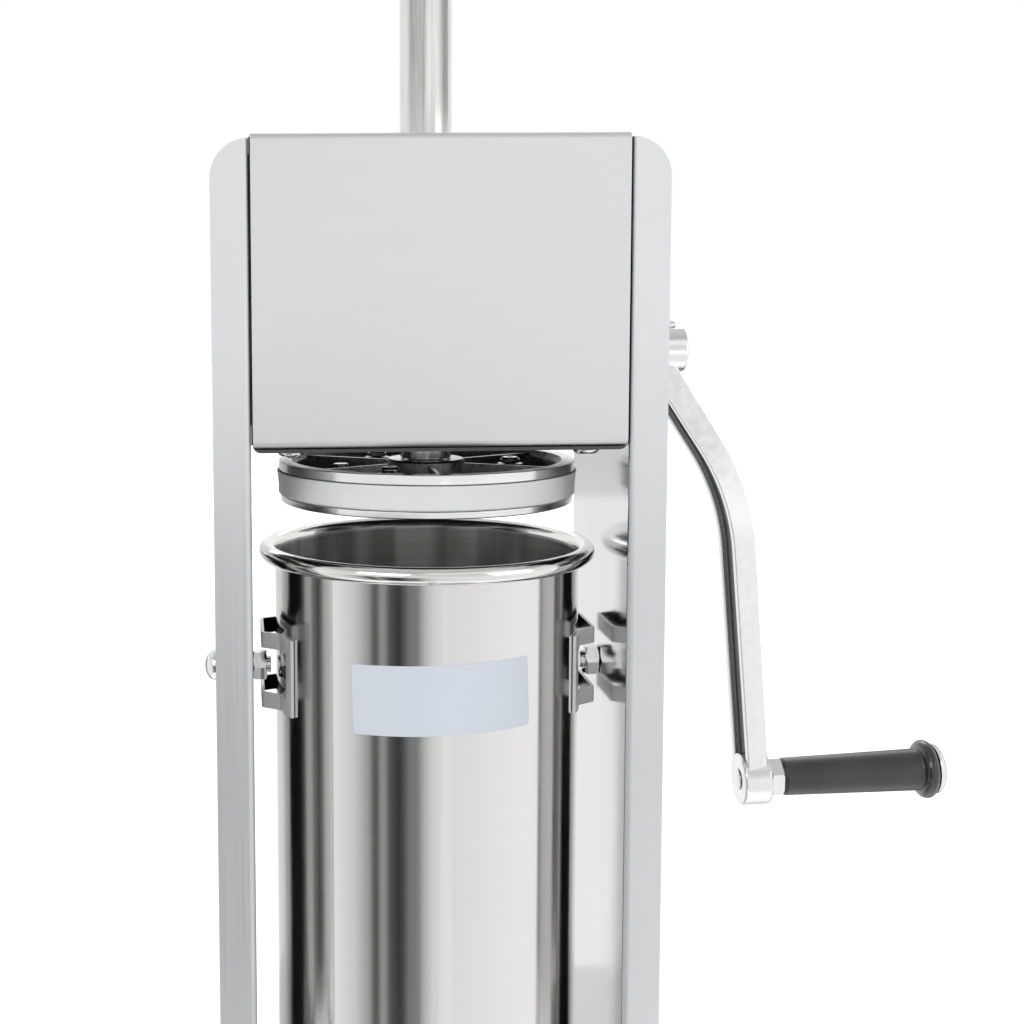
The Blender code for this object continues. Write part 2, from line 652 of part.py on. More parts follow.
def make_box(finish, steel, bronze, root):
    """Cover, floor, screws, rack guides and shaft bushes."""
    half_width = half_gap - cover_side_gap
    front = column_depth / 2 - cover_sheet / 2
    low = cover_foot + cover_sheet / 2
    high = cover_top - cover_sheet / 2
    lip = front - cover_lip
    path = rounded([(-lip, low), (-front, low), (-front, high), (front, high), (front, low), (lip, low)],
                   cover_bend)
    outline = sheet(path, cover_sheet)
    cover = add_piece("gearbox_cover", skin([[Vector((x, y, z)) for y, z in outline]
                                             for x in (-half_width, half_width)]), finish, root)
    bore(cover, rack_radius + guide_wall + gap, (0, 0, high), "Z", cover_sheet + 2 * overrun)
    # Floor: a pan whose sides turn up along the webs between the cover's lips
    level = floor_top - floor_sheet / 2
    side = half_width - floor_sheet / 2
    path = rounded([(-side, level + floor_flange), (-side, level), (side, level),
                    (side, level + floor_flange)], cover_bend)
    reach = column_depth / 2 - floor_setback
    floor = add_piece("gearbox_floor", skin([[Vector((x, y, z)) for x, z in sheet(path, floor_sheet)]
                                             for y in (-reach, reach)]), finish, root)
    notch = column_depth / 2 - cover_lip - cover_sheet - overrun
    for y0, y1 in ((-column_depth, -notch), (notch, column_depth)):
        cut(floor, box((-half_gap, y0, floor_top + gap / 2), (half_gap, y1, cover_top)))
    bore(floor, guide_radius + guide_wall + gap, (0, 0, level), "Z", floor_sheet + 2 * overrun)
    # Screws up through the floor into the cover's lips
    number = 0
    screw_depth = column_depth / 2 - cover_lip / 2 - cover_sheet
    for depth_side in (-1, 1):
        for width_side in (-1, 1):
            number += 1
            place = (width_side * floor_screw_spread / 2, depth_side * screw_depth, floor_under - gap)
            outline = [(floor_screw_radius, floor_screw_length), (floor_screw_radius, 0.0),
                       (floor_screw_head, 0.0)]
            head = dome(floor_screw_head, floor_screw_head_height, gap)
            outline += [(radius, -height) for radius, height in head]
            add_piece(f"floor_screw_{number}", turned(outline, small_sides), steel, root, place)
            bore(floor, floor_screw_radius + gap, place, "Z", 2 * floor_screw_length, small_sides)
            bore(cover, floor_screw_radius + gap, place, "Z", 2 * floor_screw_length, small_sides)
    # Guides for the rack: one stands on the floor, one hangs in the cover's top
    outer = guide_radius + guide_wall
    flange = outer + guide_flange_reach
    outline = [(guide_radius, floor_under), (outer, floor_under), (outer, floor_top + gap),
               (flange, floor_top + gap), (flange, floor_top + gap + guide_flange),
               (outer, floor_top + gap + guide_flange), (outer, floor_top + guide_depth),
               (guide_radius, floor_top + guide_depth)]
    add_piece("lower_guide", turned(outline, shaft_sides, closed=True), bronze, root)
    under = cover_top - cover_sheet - gap
    neck = rack_radius + guide_wall
    outline = [(guide_radius, under - guide_depth), (neck, under - guide_depth), (neck, under - guide_flange),
               (flange, under - guide_flange), (flange, under), (neck, under), (neck, cover_top),
               (guide_radius, cover_top)]
    add_piece("upper_guide", turned(outline, shaft_sides, closed=True), bronze, root)
    for shaft_name, level in (("slow", slow_level), ("fast", fast_level)):
        for width_name, width_side in (("left", -1), ("right", 1)):
            inner = shaft_radius + shaft_clearance
            barrel = shaft_radius + bush_wall
            rim = barrel + bush_flange_reach
            flange_high = half_gap - gap
            flange_low = flange_high - bush_flange
            end = web_outer + bush_depth
            outline = [(inner, flange_low), (rim, flange_low), (rim, flange_high), (barrel, flange_high),
                       (barrel, end), (inner, end)]
            bush = turned(outline, shaft_sides, closed=True)
            add_piece(f"{shaft_name}_bush_{width_name}", bush, bronze, root, (0, shaft_depth, level),
                      (0, width_side * math.pi / 2, 0))
    return cover


def make_gear(name, teeth, first, width, middle, material, parent, hub_side=0):
    """A spur gear on a shaft; its hub points along the shaft from one face."""
    gear = add_piece(name, prism(gear_outline(teeth, first), middle - width / 2, middle + width / 2),
                     material, parent, crease=20.0)
    length = width
    if hub_side:
        start = middle + hub_side * (width / 2 - overrun)
        end = middle + hub_side * (width / 2 + gear_hub_length)
        low, high = min(start, end), max(start, end)
        weld(gear, turned([(gear_hub_radius, low), (gear_hub_radius, high)], shaft_sides))
        length = width + 2 * gear_hub_length
    bore(gear, shaft_radius + gap, (0, 0, middle), "Z", length + 2 * overrun)
    return gear


def make_gears(steel, bronze, fast_axis, slow_axis):
    """Shafts and gears; both axes have their Z along the row's X and their X pointing down."""
    far_end = web_outer + bush_depth + shaft_end
    chamfer = rack_chamfer
    for name, axis, right_end in (("fast_shaft", fast_axis, web_outer + fast_stub),
                                  ("slow_shaft", slow_axis, web_outer + hub_start + hub_length - hub_edge)):
        outline = [(shaft_radius - chamfer, -far_end), (shaft_radius, -far_end + chamfer),
                   (shaft_radius, right_end - chamfer), (shaft_radius - chamfer, right_end)]
        add_piece(name, turned(outline, shaft_sides), steel, axis)
    make_gear("rack_pinion", rack_pinion_teeth, -math.pi / 2, pinion_width, 0.0, steel, fast_axis)
    make_gear("drive_gear", drive_gear_teeth, 0.0, drive_gear_width, gear_offset, steel, fast_axis, 1)
    half_tooth = math.pi / slow_pinion_teeth
    first = math.pi + half_tooth
    make_gear("slow_pinion", slow_pinion_teeth, first, slow_pinion_width, gear_offset, steel, slow_axis)


def make_rack(steel, piston_axis):
    low = piston_under + lower_plate + gap + seal_height + gap + upper_land + gap
    high = cover_top + rack_above_box
    stud_low = piston_under - gap - rack_nut_height
    outline = [(stud_radius, stud_low), (stud_radius, low), (rack_radius, low),
               (rack_radius, high - rack_chamfer), (rack_radius - rack_chamfer, high)]
    rack = add_piece("rack", turned(outline, rack_sides), steel, piston_axis, crease=25.0)
    pitch = math.pi * module
    tip = rack_pitch_depth + module * addendum_share
    root = rack_pitch_depth - module * dedendum_share
    slope = math.tan(pressure_angle)
    half_at_tip = pitch / 4 + backlash + module * addendum_share * slope
    half_at_root = pitch / 4 + backlash - module * dedendum_share * slope
    # A gap faces the pinion at rest, and the toothing reaches as far up as the stroke needs
    below = int((fast_level - (floor_top + guide_depth)) / pitch) - 1
    above = int((high - 2 * rack_chamfer - fast_level) / pitch) - 1
    profile = []
    for number in range(-below, above + 1):
        middle = fast_level + number * pitch
        profile += [(tip, middle - half_at_tip), (root, middle - half_at_root),
                    (root, middle + half_at_root), (tip, middle + half_at_tip)]
    reach = rack_radius + overrun
    outline = profile + [(reach, profile[-1][1]), (reach, profile[0][1])]
    cut(rack, skin([[Vector((x, y, z)) for y, z in outline] for x in (-reach, reach)]))
    return rack


def make_piston(cast, steel, rubber, piston_axis, valve_axis):
    seat = piston_under
    lower_radius = bore_radius - lower_clearance
    upper_radius = bore_radius - upper_clearance
    cavity_radius = upper_radius - land_width
    register = cavity_radius + register_wall
    lower_top = seat + lower_plate
    seal_low = lower_top + gap
    seal_high = seal_low + seal_height
    land_low = seal_high + gap
    land_high = land_low + upper_land
    cavity_low = seal_low + cavity_floor
    edge = gap
    # Upper plate, open above
    outline = [(register, seal_low), (register, land_low), (upper_radius, land_low),
               (upper_radius, land_high - edge), (upper_radius - edge, land_high),
               (cavity_radius, land_high), (cavity_radius - edge, cavity_low)]
    plate = add_piece("piston_upper_plate", turned(outline), cast, piston_axis)
    inside = cavity_radius + register_wall / 2
    foot = cavity_low - cavity_floor / 2
    weld(plate, turned([(hub_boss_radius, foot), (hub_boss_radius, land_high)], shaft_sides))
    for number in range(rib_count):
        angle = math.pi / rib_count + 2 * math.pi * number / rib_count
        rib = box((hub_boss_radius / 2, -rib_thickness / 2, foot),
                  (inside, rib_thickness / 2, land_high - rib_drop))
        weld(plate, rib, turn=(0, 0, angle))
    through = land_high - seal_low + overrun
    for number in range(boss_count):
        angle = 2 * math.pi * number / boss_count
        place = (piston_boss_circle * math.cos(angle), piston_boss_circle * math.sin(angle), 0)
        boss_top = land_high - 2 * rib_drop
        weld(plate, turned([(piston_boss_radius, foot), (piston_boss_radius, boss_top)], small_sides), place)
        bore(plate, plate_screw_radius + gap, (place[0], place[1], seal_low), "Z", 2 * through, small_sides)
        top = boss_top + gap
        screw = [(plate_screw_radius, lower_top - lower_plate / 2), (plate_screw_radius, top),
                 (plate_screw_head, top)]
        screw += dome(plate_screw_head, plate_screw_head_height, top + gap)
        add_piece(f"plate_screw_{number + 1}", turned(screw, small_sides), steel, piston_axis, place)
    bore(plate, stud_radius + gap, (0, 0, seal_low), "Z", 2 * through)
    # Seal between the plates
    seal_radius = bore_radius - seal_clearance
    outline = [(register + gap, seal_low), (seal_radius - seal_bevel, seal_low),
               (seal_radius - edge, seal_low + seal_bevel), (seal_radius, seal_high),
               (register + gap, seal_high)]
    add_piece("piston_seal", turned(outline, closed=True), rubber, piston_axis)
    # Lower plate
    outline = [(lower_radius - edge, seat), (lower_radius, seat + edge), (lower_radius, lower_top)]
    lower = add_piece("piston_lower_plate", turned(outline), cast, piston_axis)
    bore(lower, stud_radius + gap, (0, 0, seat + lower_plate / 2), "Z", lower_plate + 2 * overrun)
    hole_radius = plate_screw_radius + gap
    hole_low = lower_top - lower_plate / 2 - gap
    for number in range(boss_count):
        angle = 2 * math.pi * number / boss_count
        hole = turned([(hole_radius, hole_low), (hole_radius, lower_top + overrun)], small_sides)
        cut(lower, hole, (piston_boss_circle * math.cos(angle), piston_boss_circle * math.sin(angle), 0))
    nut_high = seat - gap
    nut_shell = hexagon(math.sqrt(3) * rack_nut_radius, nut_high - rack_nut_height, nut_high)
    nut = add_piece("rack_nut", nut_shell, steel, piston_axis)
    bore(nut, stud_radius + gap, (0, 0, seat), "Z", 2 * (rack_nut_height + overrun))
    # Air valve on the cavity's floor: its stem lifts to let air past the piston
    valve_low = cavity_low + gap
    outline = [(valve_bore, valve_low), (valve_radius, valve_low), (valve_radius, valve_low + valve_height),
               (valve_bore, valve_low + valve_height)]
    place = (piston_boss_circle * math.cos(valve_angle), piston_boss_circle * math.sin(valve_angle), 0)
    add_piece("valve_body", turned(outline, small_sides, closed=True), steel, piston_axis, place)
    knob = valve_low + valve_height + gap
    outline = [(valve_stem_radius, valve_low + gap), (valve_stem_radius, knob), (valve_knob_radius, knob),
               (valve_knob_radius, knob + valve_knob_height)]
    add_piece("valve_stem", turned(outline, small_sides), steel, valve_axis)


def arm_section(middle, along, thickness):
    """Points round the arm's I-section, square to its run in the XZ plane."""
    across = Vector((along.z, 0, -along.x))
    half = arm_depth / 2
    inner = half - arm_flange
    thick = thickness / 2
    thin = thick - arm_groove
    outline = [(-thick, -half), (thick, -half), (thick, -inner), (thin, -inner), (thin, inner),
               (thick, inner), (thick, half), (-thick, half), (-thick, inner), (-thin, inner),
               (-thin, -inner), (-thick, -inner)]
    return [middle + across * offset + Vector((0, depth, 0)) for offset, depth in outline]


def make_crank(steel, slow_axis):
    """Crank arm in the slow axis's frame: built with Z along the row's X and X pointing down."""
    hub_middle = web_outer + hub_start + hub_length / 2
    boss_middle = web_outer + boss_start + boss_length / 2
    start = Vector((hub_middle, 0, 0))
    end = Vector((boss_middle, 0, -crank_radius))
    first = Vector((math.sin(arm_top_angle), 0, -math.cos(arm_top_angle)))
    last = Vector((math.sin(arm_low_angle), 0, -math.cos(arm_low_angle)))
    # Where the two straight runs would meet, and the bend that joins them
    span = end - start
    reach = (span.x * last.z - span.z * last.x) / (first.x * last.z - first.z * last.x)
    corner = start + first * reach
    tangent = arm_bend_radius * math.tan((arm_top_angle - arm_low_angle) / 2)
    stations = [(start, first)]
    bend_start = corner - first * tangent
    centre = bend_start + Vector((first.z, 0, -first.x)) * arm_bend_radius
    for i in range(arm_steps + 1):
        angle = arm_top_angle + (arm_low_angle - arm_top_angle) * i / arm_steps
        along = Vector((math.sin(angle), 0, -math.cos(angle)))
        stations.append((centre - Vector((along.z, 0, -along.x)) * arm_bend_radius, along))
    stations.append((end, last))
    length = crank_radius
    rings = []
    for middle, along in stations:
        share = -middle.z / length
        thickness = arm_thickness_top + (arm_thickness_low - arm_thickness_top) * share
        # From row directions to the axis's own: Z along X, X down
        section = arm_section(middle, along, thickness)
        rings.append([Vector((-point.z, point.y, point.x)) for point in section])
    arm = add_piece("crank_arm", skin(rings), steel, slow_axis, crease=30.0)
    hub_low = web_outer + hub_start
    hub = [(hub_radius - hub_edge, hub_low), (hub_radius, hub_low + hub_edge),
           (hub_radius, hub_low + hub_length - hub_edge), (hub_radius - hub_edge, hub_low + hub_length)]
    weld(arm, turned(hub, shaft_sides))
    # The boss leans with the grip
    boss = [(boss_radius - hub_edge, 0.0), (boss_radius, hub_edge),
            (boss_radius, boss_length - hub_edge), (boss_radius - hub_edge, boss_length)]
    weld(arm, turned(boss, shaft_sides), boss_place, grip_turn)
    bore(arm, shaft_radius + gap, (0, 0, hub_middle), "Z", hub_length + 2 * overrun)
    hole_radius = spindle_radius + gap
    hole = turned([(hole_radius, -overrun), (hole_radius, boss_length + overrun)], shaft_sides)
    cut(arm, hole, boss_place, grip_turn)
    # Set screw down through the hub onto the shaft
    place = (0, 0, hub_low + hub_length - screw_from_hub_end)
    turn = (0, -math.pi / 2, 0)
    hole_radius = screw_radius + gap
    cut(arm, turned([(hole_radius, 0.0), (hole_radius, hub_radius + overrun)], small_sides), place, turn)
    seat = hub_radius + gap
    outline = [(screw_radius, shaft_radius + gap), (screw_radius, seat), (screw_head_radius, seat)]
    outline += dome(screw_head_radius, screw_head_height - gap, seat + gap)
    add_piece("crank_screw", turned(outline, small_sides), steel, slow_axis, place, turn)


def make_grip(steel, black, spindle_axis, grip_axis):
    """Spindle, grip and end cap along the tilted axis, which starts at the boss's inner face."""
    head_low = -gap - spindle_head
    collar_low = boss_length + 3 * gap
    collar_high = collar_low + grip_collar_length
    grip_low = collar_high + gap
    disc_low = grip_low + grip_length
    disc_high = disc_low + grip_disc_length
    spindle_end = disc_high - grip_disc_length / 2
    outline = [(spindle_head_radius, head_low), (spindle_head_radius, -gap), (spindle_radius, -gap),
               (spindle_radius, collar_low), (grip_collar_radius, collar_low),
               (grip_collar_radius, collar_high), (spindle_radius, collar_high),
               (spindle_radius, spindle_end)]
    add_piece("grip_spindle", turned(outline, shaft_sides), steel, spindle_axis)
    inner = spindle_radius + gap
    outline = [(inner, grip_low), (grip_root_radius - hub_edge, grip_low),
               (grip_root_radius, grip_low + hub_edge), (grip_tip_radius, disc_low)]
    half = grip_disc_length / 2
    for i in range(disc_steps + 1):
        angle = -math.pi / 2 + math.pi * i / disc_steps
        outline.append((grip_disc_radius - half + half * math.cos(angle),
                        disc_low + half + half * math.sin(angle)))
    outline.append((inner, disc_high))
    add_piece("grip", turned(outline, shaft_sides, closed=True), black, grip_axis)
    cap_low = disc_high + gap
    outline = [(cap_radius, cap_low)] + dome(cap_radius, cap_length, cap_low + gap)
    add_piece("grip_cap", turned(outline, shaft_sides), steel, grip_axis)


def centre_footprint(root):
    """Shift the whole so that the footprint's middle is at the origin."""
    bpy.context.view_layer.update()
    graph = bpy.context.evaluated_depsgraph_get()
    corners = []
    for item in bpy.data.objects:
        if item.type == "MESH" and not item.hide_render:
            shown = item.evaluated_get(graph)
            corners += [shown.matrix_world @ vertex.co for vertex in shown.data.vertices]
    xs = [corner.x for corner in corners]
    ys = [corner.y for corner in corners]
    root.location = (-(min(xs) + max(xs)) / 2, -(min(ys) + max(ys)) / 2, 0)
    bpy.context.view_layer.update()


def main():
    clear_scene()
    finish = make_material("Brushed steel", (0.74, 0.74, 0.75), 0.34, 1.0)
    steel = make_material("Polished steel", (0.80, 0.80, 0.81), 0.16, 1.0)
    cast = make_material("Cast aluminium", (0.62, 0.62, 0.63), 0.42, 1.0)
    bronze = make_material("Bronze", (0.55, 0.40, 0.22), 0.35, 1.0)
    rubber = make_material("Black rubber", (0.03, 0.03, 0.03), 0.75, 0.0)
    silicone = make_material("White silicone", (0.86, 0.86, 0.85), 0.45, 0.0)
    black = make_material("Black plastic", (0.03, 0.03, 0.035), 0.4, 0.0)

    root = make_empty("stuffer", (0, 0, 0))
    cylinder = make_empty("cylinder_slide", (0, 0, 0), root)
    forward = (math.pi / 2, 0, 0)
    tube_axis = make_empty("tube_slide", (0, outlet_face, outlet_level), cylinder, forward)
    nut_axis = make_empty("ring_nut_spin", (0, 0, 0), tube_axis)
    piston_axis = make_empty("piston_slide", (0, 0, 0), root)
    valve_place = (piston_boss_circle * math.cos(valve_angle), piston_boss_circle * math.sin(valve_angle), 0)
    valve_axis = make_empty("valve_slide", valve_place, piston_axis)
    across = (0, math.pi / 2, 0)
    fast_axis = make_empty("fast_shaft_spin", (0, shaft_depth, fast_level), root, across)
    slow_axis = make_empty("crank_spin", (0, shaft_depth, slow_level), root, across)
    spindle_axis = make_empty("spindle_axis", boss_place, slow_axis, grip_turn)
    grip_axis = make_empty("grip_spin", (0, 0, 0), spindle_axis)

    make_base(finish, rubber, steel, root)
    make_columns(finish, root)
    make_pivots(steel, root)
    make_cylinder(steel, root, cylinder)
    make_tube_set(steel, tube_axis, nut_axis)
    make_box(finish, steel, bronze, root)
    make_gears(steel, bronze, fast_axis, slow_axis)
    make_rack(steel, piston_axis)
    make_piston(cast, steel, silicone, piston_axis, valve_axis)
    make_crank(steel, slow_axis)
    make_grip(steel, black, spindle_axis, grip_axis)
    centre_footprint(root)


main()
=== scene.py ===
"""Looks of the upright sausage stuffer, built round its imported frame.

Lengths are metres. Pieces are made in frames of their own, with +Z along their axis, as in the CAD.
"""
import json
import math

import bmesh
import bpy
from mathutils import Euler, Matrix, Vector


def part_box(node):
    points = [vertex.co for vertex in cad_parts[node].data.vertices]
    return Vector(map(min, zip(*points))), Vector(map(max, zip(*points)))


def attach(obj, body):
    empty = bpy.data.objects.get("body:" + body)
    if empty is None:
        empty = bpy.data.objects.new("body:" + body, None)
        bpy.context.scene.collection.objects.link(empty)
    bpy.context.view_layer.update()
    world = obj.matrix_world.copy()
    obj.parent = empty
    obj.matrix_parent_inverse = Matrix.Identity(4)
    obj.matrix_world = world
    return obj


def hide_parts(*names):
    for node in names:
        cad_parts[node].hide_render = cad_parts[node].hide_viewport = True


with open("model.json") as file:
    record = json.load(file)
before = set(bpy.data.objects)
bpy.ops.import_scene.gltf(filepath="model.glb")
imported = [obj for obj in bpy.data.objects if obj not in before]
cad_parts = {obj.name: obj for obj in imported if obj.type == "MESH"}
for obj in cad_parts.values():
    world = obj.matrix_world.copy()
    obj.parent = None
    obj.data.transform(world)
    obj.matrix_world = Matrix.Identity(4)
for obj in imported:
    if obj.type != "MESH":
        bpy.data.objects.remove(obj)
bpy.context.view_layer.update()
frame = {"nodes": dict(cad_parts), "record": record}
nodes = frame["nodes"]
body_of = {node: body for body, names in frame["record"]["behaviour"]["bodies"].items() for node in names}

MM = 0.001
gap = 0.3 * MM
round_sides = 128
shaft_sides = 64
small_sides = 40
soft_edge = 0.35 * MM

# Where the CAD puts the main levels
drum_low, drum_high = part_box("cylinder")
axis_x = (drum_low.x + drum_high.x) / 2
axis_y = (drum_low.y + drum_high.y) / 2
foot_height = 14.0 * MM
base_top = 44.0 * MM
cylinder_foot = base_top + gap
cylinder_height = 335.0 * MM
rim_level = cylinder_foot + cylinder_height
cover_foot = rim_level + 54.0 * MM
cover_top = cover_foot + 135.0 * MM
column_top = cover_top - 2.0 * MM
pivot_level = rim_level - 55.0 * MM
slow_level = cover_top - 97.0 * MM
fast_level = slow_level + 44.0 * MM
shaft_depth = 20.0 * MM
outlet_level = cylinder_foot + 34.0 * MM
half_gap = 82.5 * MM
column_sheet = 2.0 * MM
web_outer = half_gap + column_sheet
column_depth = 120.0 * MM
bore_radius = 70.5 * MM
wall_radius = 71.5 * MM
outlet_face = -(wall_radius + 30.0 * MM)
outlet_bore = 18.5 * MM
crank_radius = 214.0 * MM
hub_start = 19.0 * MM
hub_length = 23.5 * MM
boss_start = 74.0 * MM
boss_length = 13.8 * MM
grip_tilt = math.radians(2.0)
shaft_radius = 7.0 * MM
bush_radius = shaft_radius + 3 * MM
pivot_radius = 4.0 * MM
angle_sheet = 2.5 * MM
base_bolt_x = web_outer + angle_sheet + 5 * MM + 3 * gap
base_bolt_y = 30 * MM
base_bolt_radius = 3 * MM
floor_screw_x = 65 * MM
floor_screw_radius = 2.5 * MM
plate_screw_radius = 2.5 * MM
plate_screw_reach = 40 * MM
piston_under = rim_level + 23.6 * MM
seal_height = 11.2 * MM
lower_plate = 3.2 * MM
upper_land = 4.3 * MM
seal_low = piston_under + lower_plate + gap
land_low = seal_low + seal_height + gap
land_high = land_low + upper_land


def at(place=(0, 0, 0), turn=(0, 0, 0), parent=None):
    """The matrix of a frame in another one, or else in the CAD's own, about the cylinder's axis."""
    parent = parent or Matrix.Translation((axis_x, axis_y, 0))
    return parent @ Matrix.Translation(place) @ Euler(turn).to_matrix().to_4x4()


upright = at()
outlet_frame = at((0, outlet_face, outlet_level), (math.pi / 2, 0, 0))
slow_frame = at((0, shaft_depth, slow_level), (0, math.pi / 2, 0))
fast_frame = at((0, shaft_depth, fast_level), (0, math.pi / 2, 0))
grip_frame = at((crank_radius, 0, web_outer + boss_start), (0, -grip_tilt, 0), slow_frame)
cylinder_frame = at((0, 0, cylinder_foot))


# Materials

def add_node(tree, kind, inputs=(), **settings):
    node = tree.nodes.new(kind)
    for key, value in settings.items():
        setattr(node, key, value)
    for key, value in dict(inputs).items():
        if isinstance(value, bpy.types.NodeSocket):
            tree.links.new(value, node.inputs[key])
        else:
            node.inputs[key].default_value = value
    return node


def object_point(tree):
    return add_node(tree, "ShaderNodeTexCoord").outputs["Object"]


def turned_point(tree, around, across):
    """Coordinates whose fast one runs across turning marks: along the axis and away from it."""
    parts = add_node(tree, "ShaderNodeSeparateXYZ", {0: object_point(tree)})
    flat = add_node(tree, "ShaderNodeCombineXYZ", {"X": parts.outputs["X"], "Y": parts.outputs["Y"]})
    reach = add_node(tree, "ShaderNodeVectorMath", {0: flat.outputs[0]}, operation="LENGTH")
    run = combined(tree, "ADD", reach.outputs["Value"], parts.outputs["Z"])
    joined = add_node(tree, "ShaderNodeCombineXYZ",
                      {"X": parts.outputs["X"], "Y": parts.outputs["Y"], "Z": run})
    return scaled(tree, joined.outputs[0], (around, around, across))


def scaled(tree, point, scale):
    return add_node(tree, "ShaderNodeMapping", {"Vector": point, "Scale": scale}).outputs[0]


def noise(tree, point, scale=1.0, detail=3.0, rough=0.55):
    node = add_node(tree, "ShaderNodeTexNoise",
                    {"Vector": point, "Scale": scale, "Detail": detail, "Roughness": rough})
    return node.outputs["Fac"]


def spread(tree, value, low, high, start=0.3, end=0.7):
    node = add_node(tree, "ShaderNodeMapRange", {"Value": value, "From Min": start, "From Max": end,
                                                 "To Min": low, "To Max": high})
    return node.outputs[0]


def find_socket(sockets, key):
    return next(socket for socket in sockets if socket.identifier == key)


def blend_colour(tree, share, first, second):
    node = add_node(tree, "ShaderNodeMix", data_type="RGBA")
    for key, value in (("Factor_Float", share), ("A_Color", first), ("B_Color", second)):
        socket = find_socket(node.inputs, key)
        if isinstance(value, bpy.types.NodeSocket):
            tree.links.new(value, socket)
        else:
            socket.default_value = value if isinstance(value, float) else (*value, 1.0)
    return find_socket(node.outputs, "Result_Color")


def combined(tree, operation, first, second):
    return add_node(tree, "ShaderNodeMath", {0: first, 1: second}, operation=operation).outputs[0]


def bumped(tree, height, strength, distance, normal=None):
    inputs = {"Height": height, "Strength": strength, "Distance": distance}
    if normal is not None:
        inputs["Normal"] = normal
    return add_node(tree, "ShaderNodeBump", inputs).outputs[0]


def start_material(name):
    material = bpy.data.materials.new(name)
    material.use_nodes = True
    return material, material.node_tree, material.node_tree.nodes["Principled BSDF"]


def metal(name, dark, light, roughness, marks, bump=0.05, smudge=0.04, edge=None, speckle=0.0, reflection_streaks=0.0):
    """A worked metal: fine marks along its finish, soft smudges, and a painted highlight that lightens its
    convex edges.

    marks is ("turned", around, across), ("straight", scale) or ("cast", scale).
    """
    material, tree, shader = start_material(name)
    point = object_point(tree)
    if marks[0] == "turned":
        fine = noise(tree, turned_point(tree, marks[1], marks[2]), 1.0, 4.0, 0.6)
        broad = noise(tree, turned_point(tree, marks[1] * 0.6, marks[2] * 0.12), 1.0, 2.0, 0.5)
    elif marks[0] == "straight":
        fine = noise(tree, scaled(tree, point, marks[1]), 1.0, 4.0, 0.62)
        broad = noise(tree, scaled(tree, point, tuple(0.13 * s for s in marks[1])), 1.0, 2.0, 0.5)
    else:
        fine = noise(tree, point, marks[1], 5.0, 0.65)
        broad = noise(tree, point, marks[1] * 0.12, 3.0, 0.5)
    stain = noise(tree, point, 22.0, 3.0, 0.5)
    colour = blend_colour(tree, spread(tree, fine, 0.0, 1.0), dark, light)
    middle = tuple((a + b) / 2 for a, b in zip(dark, light))
    colour = blend_colour(tree, spread(tree, broad, 0.0, 0.45), colour, middle)
    colour = blend_colour(tree, spread(tree, stain, 0.0, 0.22), colour, dark)
    if speckle:
        pores = noise(tree, point, 900.0, 2.0, 0.5)
        colour = blend_colour(tree, spread(tree, pores, speckle, 0.0, 0.34, 0.42), colour,
                              tuple(0.35 * c for c in dark))
    # Dark vertical streaks: a painted reflection of what a brushed wall mirrors
    if reflection_streaks:
        painted_streaks = noise(tree, scaled(tree, point, (70.0, 70.0, 1.5)), 1.0, 2.0, 0.45)
        colour = blend_colour(tree, spread(tree, painted_streaks, reflection_streaks, 0.0, 0.42, 0.60), colour,
                              tuple(0.30 * c for c in dark))
    # Convex edges are mixed towards a lighter colour: a painted highlight
    edge_convexity = add_node(tree, "ShaderNodeNewGeometry").outputs["Pointiness"]
    edge_highlight = spread(tree, edge_convexity, 0.0, 0.5, 0.52, 0.6)
    colour = blend_colour(tree, edge_highlight, colour, edge or tuple(min(1.0, c * 1.12) for c in light))
    tree.links.new(colour, shader.inputs["Base Color"])
    rough = spread(tree, fine, roughness * 0.85, roughness * 1.15)
    cloud = spread(tree, stain, -smudge, smudge)
    tree.links.new(combined(tree, "ADD", rough, cloud), shader.inputs["Roughness"])
    first = bumped(tree, fine, bump, 0.0004)
    tree.links.new(bumped(tree, broad, bump * 0.7, 0.0012, first), shader.inputs["Normal"])
    shader.inputs["Metallic"].default_value = 1.0
    return material


def moulded(name, colour, lighter, roughness, grain, strength, coat=0.0, soft=0.0):
    """Moulded rubber, plastic or silicone with a fine grain and a little dust in it."""
    material, tree, shader = start_material(name)
    point = object_point(tree)
    fine = noise(tree, point, grain, 4.0, 0.6)
    stain = noise(tree, point, 40.0, 3.0, 0.5)
    cells = add_node(tree, "ShaderNodeTexVoronoi", {"Vector": point, "Scale": grain * 0.8})
    mixed = blend_colour(tree, spread(tree, stain, 0.0, 0.7), colour, lighter)
    mixed = blend_colour(tree, spread(tree, fine, 0.0, 0.3), mixed, lighter)
    tree.links.new(mixed, shader.inputs["Base Color"])
    tree.links.new(spread(tree, fine, roughness - 0.06, roughness + 0.06), shader.inputs["Roughness"])
    first = bumped(tree, cells.outputs["Distance"], strength, 0.0003)
    tree.links.new(bumped(tree, stain, strength * 0.5, 0.0008, first), shader.inputs["Normal"])
    shader.inputs["Coat Weight"].default_value = coat
    shader.inputs["Coat Roughness"].default_value = 0.12
    if soft:
        shader.inputs["Subsurface Weight"].default_value = soft
        shader.inputs["Subsurface Radius"].default_value = (1.0, 0.9, 0.8)
        shader.inputs["Subsurface Scale"].default_value = 0.003
    return material


